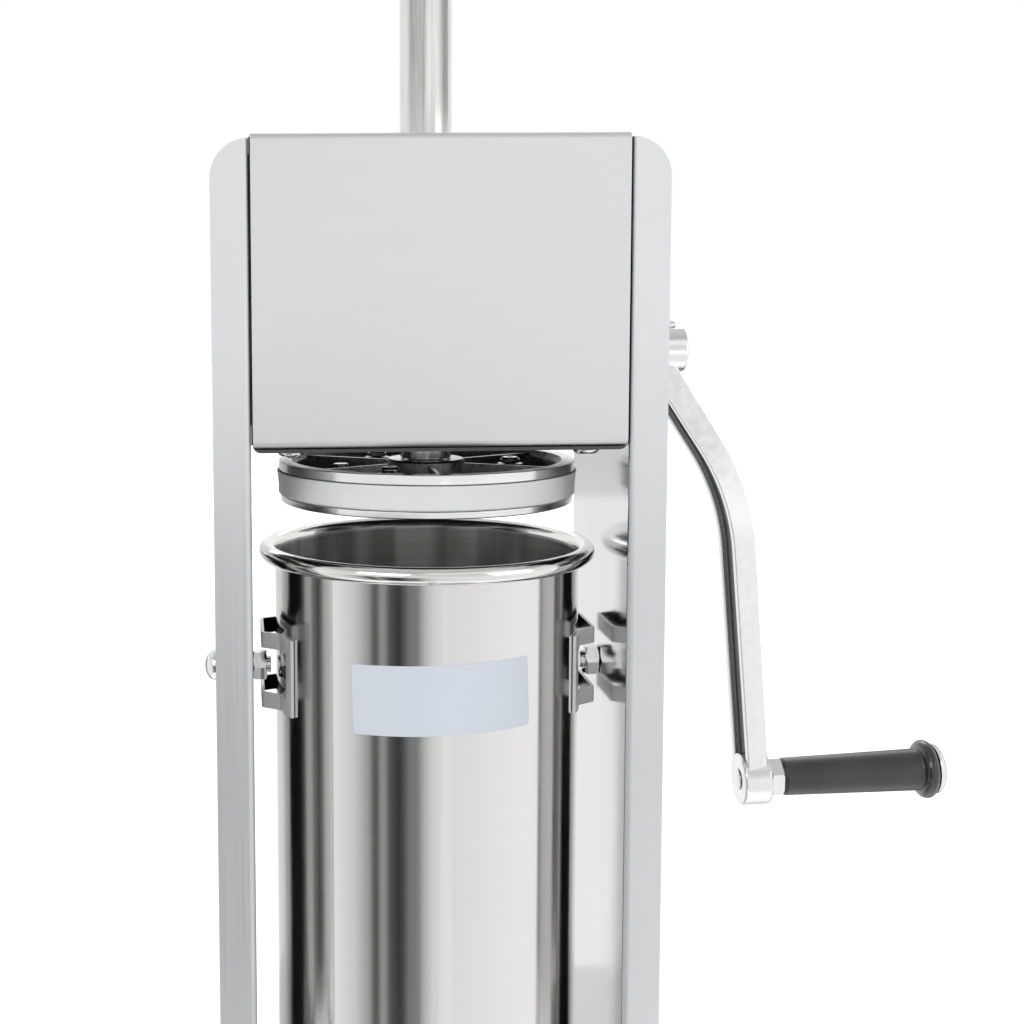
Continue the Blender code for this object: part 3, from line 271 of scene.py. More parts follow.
cover_steel = metal("Satin sheet steel", (0.64, 0.64, 0.645), (0.69, 0.69, 0.69), 0.50,
                    ("straight", (14.0, 900.0, 900.0)), bump=0.02, smudge=0.02)
column_steel = metal("Brushed sheet steel", (0.67, 0.675, 0.685), (0.76, 0.76, 0.765), 0.58,
                     ("straight", (1500.0, 1500.0, 7.0)), bump=0.04, smudge=0.03, edge=(0.72, 0.725, 0.73))
web_steel = metal("Bright sheet steel", (0.66, 0.66, 0.665), (0.75, 0.75, 0.75), 0.13,
                  ("straight", (1100.0, 1100.0, 5.0)), bump=0.02, smudge=0.03)
# Near-black steel for the gearbox floor: painted shade, standing for the dark shadow line under the cover
floor_shade_steel = metal("Painted shade sheet steel", (0.05, 0.05, 0.052), (0.10, 0.10, 0.10), 0.36,
                    ("straight", (9.0, 1300.0, 1300.0)), bump=0.04)
base_steel = metal("Brushed base steel", (0.60, 0.605, 0.61), (0.74, 0.74, 0.745), 0.32,
                   ("straight", (9.0, 1300.0, 1300.0)), bump=0.05, smudge=0.04)
drum_steel = metal("Rolled drum steel", (0.775, 0.77, 0.765), (0.82, 0.815, 0.81), 0.10,
                   ("turned", 5.0, 1500.0), bump=0.007, smudge=0.02)
# The lining's dark vertical streaks are a painted reflection
lining_steel = metal("Drum lining steel", (0.66, 0.66, 0.66), (0.86, 0.855, 0.85), 0.34,
                     ("turned", 5.0, 1300.0), bump=0.05, smudge=0.05, reflection_streaks=0.6)
# Its turning marks spread what it mirrors up and down
lining = lining_steel.node_tree
lining_shader = lining.nodes["Principled BSDF"]
lining_shader.inputs["Anisotropic"].default_value = 0.75
lining_shader.inputs["Anisotropic Rotation"].default_value = 0.25
around = add_node(lining, "ShaderNodeTangent", direction_type="RADIAL", axis="Z")
lining.links.new(around.outputs[0], lining_shader.inputs["Tangent"])
bracket_steel = metal("Pressed steel", (0.86, 0.86, 0.865), (0.96, 0.96, 0.96), 0.40,
                      ("straight", (900.0, 900.0, 18.0)), bump=0.05, smudge=0.05)
bracket_steel.node_tree.nodes["Principled BSDF"].inputs["Metallic"].default_value = 0.3
# Near-black steel for hollows and gaps: painted shade
shade_steel = metal("Painted shade steel", (0.03, 0.03, 0.031), (0.09, 0.09, 0.09), 0.30,
                    ("cast", 420.0), bump=0.08, smudge=0.05)
bright_steel = metal("Polished steel", (0.78, 0.78, 0.785), (0.88, 0.88, 0.88), 0.10,
                     ("turned", 20.0, 1600.0), bump=0.02, smudge=0.03)
rod_steel = metal("Ground rod steel", (0.62, 0.615, 0.61), (0.84, 0.84, 0.84), 0.20,
                  ("straight", (700.0, 700.0, 30.0)), bump=0.06, smudge=0.05)
arm_steel = metal("Cast chromed steel", (0.80, 0.80, 0.805), (0.90, 0.90, 0.90), 0.20,
                  ("cast", 260.0), bump=0.05, smudge=0.05)
# Dark steel for the crank's grooves: painted shade in the recesses
groove_shade_steel = metal("Groove steel with painted shade", (0.13, 0.13, 0.13), (0.30, 0.30, 0.30), 0.38,
                     ("cast", 700.0), bump=0.25, smudge=0.06)
# Dark cast aluminium for the piston's cavity: partly its own as-cast tone, partly painted shade
cast_shade_metal = metal("Cast aluminium", (0.12, 0.12, 0.122), (0.44, 0.44, 0.445), 0.34,
                   ("cast", 1100.0), bump=0.55, smudge=0.08, speckle=0.6)
turned_metal = metal("Turned aluminium", (0.60, 0.60, 0.605), (0.76, 0.76, 0.76), 0.16,
                     ("turned", 14.0, 2600.0), bump=0.05, smudge=0.05)
gear_steel = metal("Gear steel", (0.42, 0.42, 0.43), (0.66, 0.66, 0.67), 0.32,
                   ("turned", 30.0, 900.0), bump=0.08, smudge=0.06)
bronze = metal("Bush bronze", (0.42, 0.27, 0.12), (0.66, 0.46, 0.24), 0.30,
               ("turned", 30.0, 1500.0), bump=0.06, smudge=0.06)
rubber = moulded("Black rubber", (0.018, 0.018, 0.019), (0.05, 0.05, 0.05), 0.72, 1500.0, 0.25)
silicone = moulded("White silicone", (0.86, 0.86, 0.865), (0.92, 0.92, 0.92), 0.38, 700.0, 0.04, soft=0.25)
grip_plastic = moulded("Satin black plastic", (0.022, 0.022, 0.023), (0.056, 0.056, 0.057), 0.36, 1700.0,
                       0.22, coat=0.3)
gloss_plastic = moulded("Gloss black plastic", (0.010, 0.010, 0.011), (0.020, 0.020, 0.021), 0.18, 900.0,
                        0.05, coat=0.8)
sticker_film = moulded("Pale sticker film", (0.75, 0.81, 0.90), (0.80, 0.855, 0.93), 0.40, 500.0, 0.03,
                       coat=0.1)


# Mesh helpers

def circle(radius, height, sides, start=0.0):
    turn = 2 * math.pi / sides
    return [Vector((radius * math.cos(start + turn * i), radius * math.sin(start + turn * i), height))
            for i in range(sides)]


def skin(rings, closed=False):
    """A mesh through equal rings of points, capped at both ends or closed on itself."""
    shell = bmesh.new()
    rows = [[shell.verts.new(point) for point in ring] for ring in rings]
    pairs = list(zip(rows, rows[1:]))
    if closed:
        pairs.append((rows[-1], rows[0]))
    for low, high in pairs:
        for i in range(len(low)):
            j = (i + 1) % len(low)
            shell.faces.new((low[i], low[j], high[j], high[i]))
    if not closed:
        shell.faces.new(list(reversed(rows[0])))
        shell.faces.new(rows[-1])
    bmesh.ops.recalc_face_normals(shell, faces=shell.faces)
    return shell


def eased(points, radius, steps=3, loop=True, sharp=20.0):
    """A 2-D outline with each corner rounded by a small arc."""
    points = [Vector(p) for p in points]
    count = len(points)
    path = []
    for i, here in enumerate(points):
        if not loop and i in (0, count - 1):
            path.append(here)
            continue
        back = points[i - 1] - here
        ahead = points[(i + 1) % count] - here
        if back.length < 1e-9 or ahead.length < 1e-9:
            continue
        turn = math.pi - back.angle(ahead)
        if turn < math.radians(sharp) or not radius:
            path.append(here)
            continue
        reach = min(radius * math.tan(turn / 2), 0.42 * back.length, 0.42 * ahead.length)
        arc = reach / math.tan(turn / 2)
        b, a = back.normalized(), ahead.normalized()
        centre = here + (a + b).normalized() * (arc / math.cos(turn / 2))
        first = here + b * reach - centre
        sweep = first.angle_signed(here + a * reach - centre)
        for k in range(steps + 1):
            angle = -sweep * k / steps
            path.append(centre + Vector((first.x * math.cos(angle) - first.y * math.sin(angle),
                                         first.x * math.sin(angle) + first.y * math.cos(angle))))
    return path


def turned(outline, sides=shaft_sides, closed=False, ease=soft_edge, steps=3):
    """A turned solid through (radius, height) points about Z, with eased corners; closed if it has a bore."""
    if closed:
        return skin([circle(p.x, p.y, sides) for p in eased(outline, ease, steps)], True)
    path = [(0.0, outline[0][1])] + list(outline) + [(0.0, outline[-1][1])]
    path = eased(path, ease, steps, loop=False)
    shell = bmesh.new()
    rows = [[shell.verts.new(point) for point in circle(p.x, p.y, sides)] for p in path[1:-1]]
    for low, high in zip(rows, rows[1:]):
        for i in range(sides):
            j = (i + 1) % sides
            shell.faces.new((low[i], low[j], high[j], high[i]))
    for row, p in ((rows[0], path[0]), (rows[-1], path[-1])):
        pole = shell.verts.new((0, 0, p.y))
        for i in range(sides):
            shell.faces.new((row[i], row[(i + 1) % sides], pole))
    bmesh.ops.recalc_face_normals(shell, faces=shell.faces)
    return shell


def prism(points, low, high):
    return skin([[Vector((x, y, z)) for x, y in points] for z in (low, high)])


def block(low, high):
    (x0, y0, z0), (x1, y1, z1) = low, high
    return prism([(x0, y0), (x1, y0), (x1, y1), (x0, y1)], z0, z1)


def rounded(points, radius, steps=8):
    """An open path of 2-D points with its inner corners rounded to a radius."""
    return eased(points, radius, steps, loop=False, sharp=1.0)


def sheet(path, thickness):
    """The closed outline of a bent sheet whose middle follows an open path."""
    left, right = [], []
    for i, point in enumerate(path):
        back = (point - path[max(i - 1, 0)]).normalized() if i else None
        ahead = (path[i + 1] - point).normalized() if i + 1 < len(path) else None
        along = (back or ahead) + (ahead or back)
        along.normalize()
        side = Vector((-along.y, along.x))
        reach = thickness / 2 / side.dot(Vector((-(ahead or back).y, (ahead or back).x)))
        left.append(point + side * reach)
        right.append(point - side * reach)
    return [tuple(point) for point in left + right[::-1]]


def dome(radius, height, low, steps=8):
    turns = [math.pi / 2 * i / (steps + 0.5) for i in range(steps + 1)]
    return [(radius * math.cos(angle), low + height * math.sin(angle)) for angle in turns]


def add_object(name, shell, matrix, material=None):
    mesh = bpy.data.meshes.new(name)
    shell.to_mesh(mesh)
    shell.free()
    piece = bpy.data.objects.new(name, mesh)
    bpy.context.scene.collection.objects.link(piece)
    piece.matrix_world = matrix
    if material is not None:
        mesh.materials.append(material)
    return piece


def shape(piece, *tools):
    """Cut or join tools, given as (shell, matrix, operation), and apply the result."""
    helpers = []
    for shell, matrix, operation in tools:
        helper = add_object(piece.name + "_tool", shell, matrix)
        change = piece.modifiers.new(operation, "BOOLEAN")
        change.object = helper
        change.operation = operation
        change.solver = "EXACT"
        helpers.append(helper)
    apply_all(piece)
    for helper in helpers:
        bpy.data.objects.remove(helper, do_unlink=True)
    return piece


def apply_all(piece):
    bpy.context.view_layer.update()
    graph = bpy.context.evaluated_depsgraph_get()
    made = bpy.data.meshes.new_from_object(piece.evaluated_get(graph))
    piece.modifiers.clear()
    old = piece.data
    piece.data = made
    made.name = piece.name
    bpy.data.meshes.remove(old)


def soften(piece, width, segments=2, angle=50.0):
    """Round the hard edges of a piece, and apply it."""
    change = piece.modifiers.new("Ease", "BEVEL")
    change.width = width
    change.segments = segments
    change.limit_method = "ANGLE"
    change.angle_limit = math.radians(angle)
    apply_all(piece)
    return piece


def finish_piece(piece, body, *stands_for, crease=32.0):
    piece.data.shade_smooth()
    piece.data.set_sharp_from_angle(angle=math.radians(crease))
    even = piece.modifiers.new("Even", "WEIGHTED_NORMAL")
    even.keep_sharp = True
    even.weight = 100
    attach(piece, body)
    if stands_for:
        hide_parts(*stands_for)
    return piece


def stand_in(node, shell, matrix, material, *tools, ease=0.0, crease=32.0):
    """A finer piece in the place of one CAD node."""
    piece = add_object(node + "_fine", shell, matrix, material)
    if ease:
        soften(piece, ease)
    if tools:
        shape(piece, *tools)
    return finish_piece(piece, body_of[node], node, crease=crease)


def drill(radius, place, axis, length, matrix, sides=small_sides):
    """A round hole of a length, centred on a place, along an axis of a frame."""
    turns = {"X": (0, math.pi / 2, 0), "Y": (math.pi / 2, 0, 0), "Z": (0, 0, 0)}
    shell = turned([(radius, -length / 2), (radius, length / 2)], sides, ease=0.0)
    return shell, at(place, turns[axis], matrix), "DIFFERENCE"


def hexagon_shell(flats, low, high, start=math.pi / 6):
    return skin([circle(flats / math.sqrt(3), height, 6, start) for height in (low, high)])


def chamfered_hexagon(name, flats, low, high, matrix, material):
    """A hexagonal head or nut whose corners are turned down at its ends."""
    piece = add_object(name, hexagon_shell(flats, low, high), matrix, material)
    corner = flats / math.sqrt(3)
    rise = (corner - flats / 2) * 0.62
    end = flats / 2 * 0.985
    outline = [(end, low), (corner, low + rise), (corner, high - rise), (end, high)]
    return shape(piece, (turned(outline, small_sides * 2, ease=0.0), matrix, "INTERSECT"))


# Cylinder, brackets, outlet, tube and sticker

def make_cylinder():
    bead_radius = 4.0 * MM
    bead = bore_radius + 4.5 * MM
    fillet = 4.0 * MM
    floor = 1.5 * MM
    mouth = 2.6 * MM
    outline = [(wall_radius - fillet + fillet * math.sin(a), fillet - fillet * math.cos(a))
               for a in (math.pi / 2 * i / 6 for i in range(7))]
    join = math.acos((wall_radius - bead) / bead_radius)
    outline.append((wall_radius, cylinder_height - bead_radius * math.sin(join) - bead_radius))
    steps = 22
    for i in range(steps + 1):
        angle = -join + (join + 0.95 * math.pi) * i / steps
        outline.append((bead + bead_radius * math.cos(angle),
                        cylinder_height + bead_radius * math.sin(angle)))
    lip = outline[-1]
    for i in range(1, 9):
        share = i / 8
        outline.append((bore_radius + (lip[0] - bore_radius) * (1 - share) ** 1.9,
                        lip[1] - mouth * (1 - (1 - share) ** 1.25)))
    outline.append((bore_radius, fillet + floor))
    outline += [(bore_radius - fillet + fillet * math.cos(a), floor + fillet - fillet * math.sin(a))
                for a in (math.pi / 2 * i / 6 for i in range(1, 7))]
    hole = turned([(outlet_bore, bore_radius / 2), (outlet_bore, -outlet_face)], small_sides, ease=0.0)
    drum = add_object("cylinder_fine", turned(outline, round_sides, ease=0.0), cylinder_frame, drum_steel)
    shape(drum, (hole, at((0, 0, outlet_level), (math.pi / 2, 0, 0)), "DIFFERENCE"))
    drum.data.materials.append(lining_steel)
    for face in drum.data.polygons:
        centre = face.center
        if math.hypot(centre.x, centre.y) < bore_radius + 0.2 * MM and centre.z > floor - 0.2 * MM:
            face.material_index = 1
    finish_piece(drum, "cylinder_set", "cylinder", crease=40.0)


def make_brackets():
    thickness = 1.5 * MM
    height = 36.0 * MM
    half_depth = 27.0 * MM
    slot_top = rim_level - 36.5 * MM - 7.5 * MM
    low = rim_level - 36.5 * MM - height
    for name, side in (("left", -1), ("right", 1)):
        seat = wall_radius + gap + thickness / 2
        outer = wall_radius + 7.0 * MM - thickness / 2
        root_angle = math.asin(half_depth / seat)
        root_x = seat * math.cos(root_angle)
        step = root_x + 1.9 * MM
        tab_angle = root_angle + 6.6 * MM / seat
        root = [(seat * math.cos(tab_angle), -seat * math.sin(tab_angle)), (root_x, -half_depth)]
        front = root + [(step, -18.5 * MM), (outer, -12.5 * MM)]
        rear = [(outer, 18.5 * MM), (step, 22.5 * MM)] + [(x, -y) for x, y in reversed(root)]
        path = rounded([(side * x, y) for x, y in front + rear], 2.2 * MM)
        path = path if side > 0 else path[::-1]
        reach = half_depth + 2 * MM
        x_in = side * (root_x + 0.1 * MM)
        x_out = side * (outer + 2 * MM)
        slot = block((min(x_in, x_out), -reach, slot_top - 21.0 * MM), (max(x_in, x_out), reach, slot_top))
        piece = add_object(f"{name}_bracket_fine", prism(sheet(path, thickness), low, low + height), upright,
                           bracket_steel)
        soften(piece, 0.22 * MM)
        shape(piece, (slot, upright, "DIFFERENCE"))
        # The faces inside the bracket's hollow, towards the drum, get the near-black steel: painted shade
        piece.data.materials.append(shade_steel)
        hollow = Vector((side * (wall_radius + 1 * MM), 0, 0))
        for face in piece.data.polygons:
            inward = hollow - face.center
            inward.z = 0
            if abs(face.normal.z) < 0.5 and face.normal.dot(inward.normalized()) > 0.25:
                face.material_index = 1
        finish_piece(piece, "cylinder_set", f"{name}_bracket", crease=38.0)


def make_outlet():
    collar, thread, collar_end = 25.0 * MM, 22.0 * MM, wall_radius + 12.0 * MM
    outline = [(outlet_bore, bore_radius / 2), (collar, bore_radius / 2), (collar, collar_end),
               (thread, collar_end), (thread, -outlet_face), (outlet_bore, -outlet_face)]
    frame_here = at((0, 0, outlet_level), (math.pi / 2, 0, 0))
    wall = turned([(wall_radius + gap, outlet_level - 50 * MM), (wall_radius + gap, outlet_level + 50 * MM)],
                  round_sides, ease=0.0)
    stand_in("outlet_spout", turned(outline, shaft_sides, True), frame_here, bright_steel,
             (wall, upright, "DIFFERENCE"))
    # Tube: a flanged root, a short neck and a long taper with a rolled tip
    root, tip, wall_thickness = 16.5 * MM, 10.5 * MM, 1.2 * MM
    shoulder = gap + 2.5 * MM
    taper = shoulder + 3.0 * MM + 2.2 * MM
    length = 150.0 * MM
    flange = 21.0 * MM
    outline = [(root - wall_thickness, gap), (flange, gap), (flange, shoulder), (root, shoulder),
               (root, taper), (tip, length), (tip - wall_thickness, length), (root - wall_thickness, taper)]
    stand_in("stuffing_tube", turned(outline, shaft_sides, True), outlet_frame, bright_steel)
    # Ring nut with soft lobes
    front = 2 * gap + 2.5 * MM + 3.0 * MM
    rear = front - 20.0 * MM
    lip_inner = root + 0.4 * MM
    thread += 0.4 * MM
    nut = 28.5 * MM
    outline = eased([(thread, rear), (nut, rear), (nut, front), (lip_inner, front),
                     (lip_inner, front - 3.0 * MM), (thread, front - 3.0 * MM)], 0.9 * MM, 4)
    sides, lobes, lobe_depth, lobe_foot = 160, 10, 1.6 * MM, 25.0 * MM
    rings = []
    for p in outline:
        depth = lobe_depth * max(0.0, (p.x - lobe_foot) / (nut - lobe_foot))
        ring = circle(p.x, p.y, sides)
        for i, point in enumerate(ring):
            point.xy *= 1 - depth / p.x * (0.5 - 0.5 * math.cos(2 * math.pi * lobes * i / sides))
        rings.append(ring)
    stand_in("ring_nut", skin(rings, True), outlet_frame, bright_steel)


def make_sticker():
    """A blank pale sticker on the drum's front, a little aslant and with softly rounded corners."""
    radius = wall_radius + 0.05 * MM
    thick = 0.12 * MM
    width, height = 82.0 * MM, 31.2 * MM
    middle_angle = math.radians(-0.3)
    middle = rim_level - 55.2 * MM
    slant = math.radians(1.9)
    columns, rows, corner = 48, 10, 1.2 * MM
    shell = bmesh.new()
    layers = []
    for lift in (0.0, thick):
        grid = []
        for j in range(rows + 1):
            line = []
            for i in range(columns + 1):
                u = width * (i / columns - 0.5)
                v = height * (j / rows - 0.5)
                # Pull the outermost points in at the corners
                over_u = max(0.0, abs(u) - (width / 2 - corner))
                over_v = max(0.0, abs(v) - (height / 2 - corner))
                if over_u > 0 and over_v > 0:
                    far = math.hypot(over_u, over_v)
                    if far > corner:
                        u = math.copysign(width / 2 - corner + over_u * corner / far, u)
                        v = math.copysign(height / 2 - corner + over_v * corner / far, v)
                along = u * math.cos(slant) - v * math.sin(slant)
                up = u * math.sin(slant) + v * math.cos(slant)
                angle = middle_angle + along / radius
                reach = radius + lift
                line.append(shell.verts.new((reach * math.sin(angle), -reach * math.cos(angle), middle + up)))
            grid.append(line)
        layers.append(grid)
    for number, grid in enumerate(layers):
        for j in range(rows):
            for i in range(columns):
                face = [grid[j][i], grid[j][i + 1], grid[j + 1][i + 1], grid[j + 1][i]]
                shell.faces.new(face if number else face[::-1])
    inner, outer = layers
    rim = [(j, 0) for j in range(rows, 0, -1)] + [(0, i) for i in range(columns)]
    rim += [(j, columns) for j in range(rows)] + [(rows, i) for i in range(columns, 0, -1)]
    for (j0, i0), (j1, i1) in zip(rim, rim[1:] + rim[:1]):
        shell.faces.new((inner[j0][i0], inner[j1][i1], outer[j1][i1], outer[j0][i0]))
    bmesh.ops.recalc_face_normals(shell, faces=shell.faces)
    piece = add_object("blank_sticker", shell, upright, sticker_film)
    finish_piece(piece, "cylinder_set", crease=50.0)


# Frame

def make_columns():
    sheet_bend = 1.9 * MM
    corner = 17.0 * MM
    outer = half_gap + 16.5 * MM
    edge = column_depth / 2 - column_sheet / 2
    middle = half_gap + column_sheet / 2
    low = base_top + gap
    for name, side in (("left", -1), ("right", 1)):
        path = rounded([(side * outer, -edge), (side * middle, -edge), (side * middle, edge),
                        (side * outer, edge)], sheet_bend)
        steps = 14
        arc = [(side * (outer - corner * (1 - math.cos(math.pi / 2 * i / steps))),
                column_top - corner * (1 - math.sin(math.pi / 2 * i / steps))) for i in range(steps + 1)]
        over = 2 * MM
        outline = [(side * (outer - corner), column_top + over), (side * (outer + over), column_top + over),
                   (side * (outer + over), column_top - corner)]
        cutter = skin([[Vector((x, y, z)) for x, z in outline + arc]
                       for y in (-column_depth / 2 - over, column_depth / 2 + over)])
        tools = [(cutter, upright, "DIFFERENCE")]
        through = column_sheet + 4 * MM
        for level, radius, depth in ((slow_level, bush_radius, shaft_depth),
                                     (fast_level, bush_radius, shaft_depth),
                                     (pivot_level, pivot_radius, 0.0)):
            tools.append(drill(radius + gap, (side * middle, depth, level), "X", through, upright))
        piece = add_object(f"{name}_column_fine", prism(sheet(path, column_sheet), low, column_top), upright,
                           column_steel)
        shape(piece, *tools)
        soften(piece, 0.25 * MM, angle=55.0)
        piece.data.materials.append(web_steel)
        for face in piece.data.polygons:
            if abs(face.normal.x) > 0.95 and abs(face.center.x) < half_gap + 0.3 * MM:
                face.material_index = 1
        finish_piece(piece, "frame", f"{name}_column", crease=36.0)
        # Angle on the base
        thickness = angle_sheet
        inner = web_outer + gap + thickness / 2
        foot = low + thickness / 2
        path = [(side * inner, foot + 38 * MM), (side * inner, foot), (side * (outer - 1 * MM), foot)]
        outline = sheet([Vector(p) for p in path], thickness)
        rings = [[Vector((x, y, z)) for x, z in outline] for y in (-46 * MM, 46 * MM)]
        holes = [drill(base_bolt_radius + gap, (side * base_bolt_x, d * base_bolt_y, foot), "Z",
                       thickness + 4 * MM, upright) for d in (-1, 1)]
        stand_in(f"{name}_column_angle", skin(rings), upright, column_steel, *holes, ease=0.4 * MM)


def rounded_rectangle(width, depth, corner, height, steps=12):
    ring = []
    for sx, sy, start in ((1, 1, 0.0), (-1, 1, 0.5), (-1, -1, 1.0), (1, -1, 1.5)):
        for i in range(steps + 1):
            angle = math.pi * (start + i / steps / 2)
            ring.append(Vector((sx * (width / 2 - corner) + corner * math.cos(angle),
                                sy * (depth / 2 - corner) + corner * math.sin(angle), height)))
    return ring


def crowned_block(width, depth, corner, edge, low, high, steps=8):
    rings = [rounded_rectangle(width, depth, corner, low)]
    for i in range(steps + 1):
        angle = math.pi / 2 * i / steps
        inset = edge * (1 - math.cos(angle))
        rings.append(rounded_rectangle(width - 2 * inset, depth - 2 * inset, corner - inset,
                                       high - edge + edge * math.sin(angle)))
    return skin(rings)


def make_base():
    width, depth, corner, edge, thickness = 236 * MM, 300 * MM, 20 * MM, 4 * MM, 2 * MM
    middle, foot_inset = -22 * MM, 24 * MM
    here = at((0, middle, 0))
    inner = crowned_block(width - 2 * thickness, depth - 2 * thickness, corner - thickness, edge - thickness,
                          foot_height - 2 * MM, base_top - thickness)
    holes = [drill(base_bolt_radius + gap, (s * base_bolt_x, d * base_bolt_y, base_top - 1 * MM), "Z", 6 * MM,
                   upright) for s in (-1, 1) for d in (-1, 1)]
    stand_in("base_tray", crowned_block(width, depth, corner, edge, foot_height, base_top), here, base_steel,
             (inner, here, "DIFFERENCE"), *holes)
    foot = [(15.0 * MM, 0.0), (17.0 * MM, 2.0 * MM), (16.2 * MM, 5.5 * MM), (15.4 * MM, 6.2 * MM),
            (13.5 * MM, foot_height), (13.5 * MM, base_top - thickness - gap)]
    for depth_name, ds in (("front", -1), ("rear", 1)):
        for width_name, ws in (("left", -1), ("right", 1)):
            here = at((ws * (width / 2 - foot_inset), middle + ds * (depth / 2 - foot_inset), 0))
            stand_in(f"foot_{depth_name}_{width_name}", turned(foot, 48, ease=0.8 * MM), here, rubber)
    seat = base_top + gap + angle_sheet + gap
    for width_name, ws in (("left", -1), ("right", 1)):
        for depth_name, ds in (("front", -1), ("rear", 1)):
            here = at((ws * base_bolt_x, ds * base_bolt_y, 0))
            node = f"base_bolt_{width_name}_{depth_name}"
            bolt = chamfered_hexagon(node + "_fine", 10 * MM, seat, seat + 4 * MM, here, bright_steel)
            shank = turned([(base_bolt_radius, seat - 10 * MM), (base_bolt_radius, seat + 2 * MM)], 24,
                           ease=0.2 * MM)
            shape(bolt, (shank, here, "UNION"))
            finish_piece(bolt, "frame", node)


def make_pivots():
    bolt = pivot_radius
    head = 7.4 * MM
    for name, side in (("left", -1), ("right", 1)):
        here = at((0, 0, pivot_level), (0, side * math.pi / 2, 0))
        start = half_gap - 8.7 * MM
        sleeve_low = web_outer + gap
        sleeve_high = sleeve_low + 14 * MM
        seat = sleeve_high + gap
        outline = [(bolt, start), (bolt, seat), (head, seat)] + dome(head, 5 * MM, seat + 1 * MM)
        stand_in(f"{name}_pivot_bolt", turned(outline, 48, ease=0.5 * MM), here, bright_steel, crease=40.0)
        outline = [(bolt + gap, sleeve_low), (6 * MM, sleeve_low), (6 * MM, sleeve_high),
                   (bolt + gap, sleeve_high)]
        stand_in(f"{name}_pivot_sleeve", turned(outline, 40, True), here, bright_steel)
        node = f"{name}_pivot_nut"
        high = half_gap - gap
        low = high - 6.5 * MM
        nut = chamfered_hexagon(node + "_fine", 13 * MM, low, high, here, bright_steel)
        shape(nut, drill(bolt + gap, (0, 0, (low + high) / 2), "Z", 12 * MM, here))
        finish_piece(nut, "frame", node)


# Gearbox

def make_box():
    thickness = 1.5 * MM
    half_width = half_gap - 0.8 * MM
    front = column_depth / 2 - thickness / 2
    low = cover_foot + thickness / 2
    high = cover_top - thickness / 2
    lip = front - 15 * MM
    path = rounded([(-lip, low), (-front, low), (-front, high), (front, high), (front, low), (lip, low)],
                   2.5 * MM)
    outline = sheet(path, thickness)
    rings = [[Vector((x, y, z)) for y, z in outline] for x in (-half_width, half_width)]
    tools = [drill(12 * MM + 4.5 * MM + gap, (0, 0, high), "Z", thickness + 4 * MM, upright, 64)]
    screw_depth = column_depth / 2 - 7.5 * MM - thickness
    under = cover_foot - gap - thickness - gap
    for ds in (-1, 1):
        for ws in (-1, 1):
            tools.append(drill(floor_screw_radius + gap, (ws * floor_screw_x, ds * screw_depth, under), "Z",
                               16 * MM, upright))
    # Flanges behind the front and rear walls close the gaps beside the columns; they are dark sheets of
    # painted shade standing for the shade in those gaps
    flange_depth = front - 11 * MM
    for ws in (-1, 1):
        near, far = sorted((ws * (half_width - 2 * MM), ws * (half_gap - 0.15 * MM)))
        for ds in (-1, 1):
            flange = block((near, ds * flange_depth - thickness / 2, low),
                           (far, ds * flange_depth + thickness / 2, high))
            tools.append((flange, upright, "UNION"))
    cover = add_object("gearbox_cover_fine", skin(rings), upright, cover_steel)
    soften(cover, 0.3 * MM, angle=60.0)
    shape(cover, *tools)
    # The flange faces beside the columns get the near-black steel: painted shade
    cover.data.materials.append(shade_steel)
    for face in cover.data.polygons:
        beside = abs(face.center.x) > half_width - 1.5 * MM and abs(face.normal.z) < 0.5
        if beside and abs(abs(face.center.y) - flange_depth) < 2 * MM:
            face.material_index = 1
    finish_piece(cover, "frame", "gearbox_cover", crease=36.0)
    # Pan-head screws with a cross recess
    head, arm, half_slot = 5.8 * MM, 2.4 * MM, 0.45 * MM
    outline = [(floor_screw_radius, 8 * MM), (floor_screw_radius, 0.0), (head, 0.0)]
    outline += [(r, -h) for r, h in dome(head, 2.4 * MM, gap)]
    places = [(ws, ds) for ds in (-1, 1) for ws in (-1, 1)]
    for number, (ws, ds) in enumerate(places, 1):
        here = at((ws * floor_screw_x, ds * screw_depth, under))
        cross = [(block((-x, -y, -4 * MM), (x, y, -1.5 * MM)), here, "DIFFERENCE")
                 for x, y in ((arm, half_slot), (half_slot, arm))]
        stand_in(f"floor_screw_{number}", turned(outline, small_sides, ease=0.2 * MM), here, bright_steel,
                 *cross)
    # Guides and bushes
    guide = 12.4 * MM
    outer = guide + 4.5 * MM
    flange = outer + 4 * MM
    rim = 2.5 * MM
    floor_top = cover_foot - gap
    floor_under = floor_top - thickness
    outline = [(guide, floor_under), (outer, floor_under), (outer, cover_foot), (flange, cover_foot),
               (flange, cover_foot + rim), (outer, cover_foot + rim), (outer, floor_top + 10 * MM),
               (guide, floor_top + 10 * MM)]
    stand_in("lower_guide", turned(outline, 64, True), upright, bronze)
    inside = cover_top - thickness - gap
    neck = 16.5 * MM
    outline = [(guide, inside - 10 * MM), (neck, inside - 10 * MM), (neck, inside - rim),
               (flange, inside - rim), (flange, inside), (neck, inside), (neck, cover_top),
               (guide, cover_top)]
    stand_in("upper_guide", turned(outline, 64, True), upright, bronze)
    inner = shaft_radius + gap
    flange = bush_radius + 3 * MM
    high = half_gap - gap
    low = high - 2 * MM
    end = web_outer + 7 * MM
    outline = [(inner, low), (flange, low), (flange, high), (bush_radius, high), (bush_radius, end),
               (inner, end)]
    for shaft_name, level in (("slow", slow_level), ("fast", fast_level)):
        for width_name, ws in (("left", -1), ("right", 1)):
            stand_in(f"{shaft_name}_bush_{width_name}", turned(outline, 48, True),
                     at((0, shaft_depth, level), (0, ws * math.pi / 2, 0)), bronze)


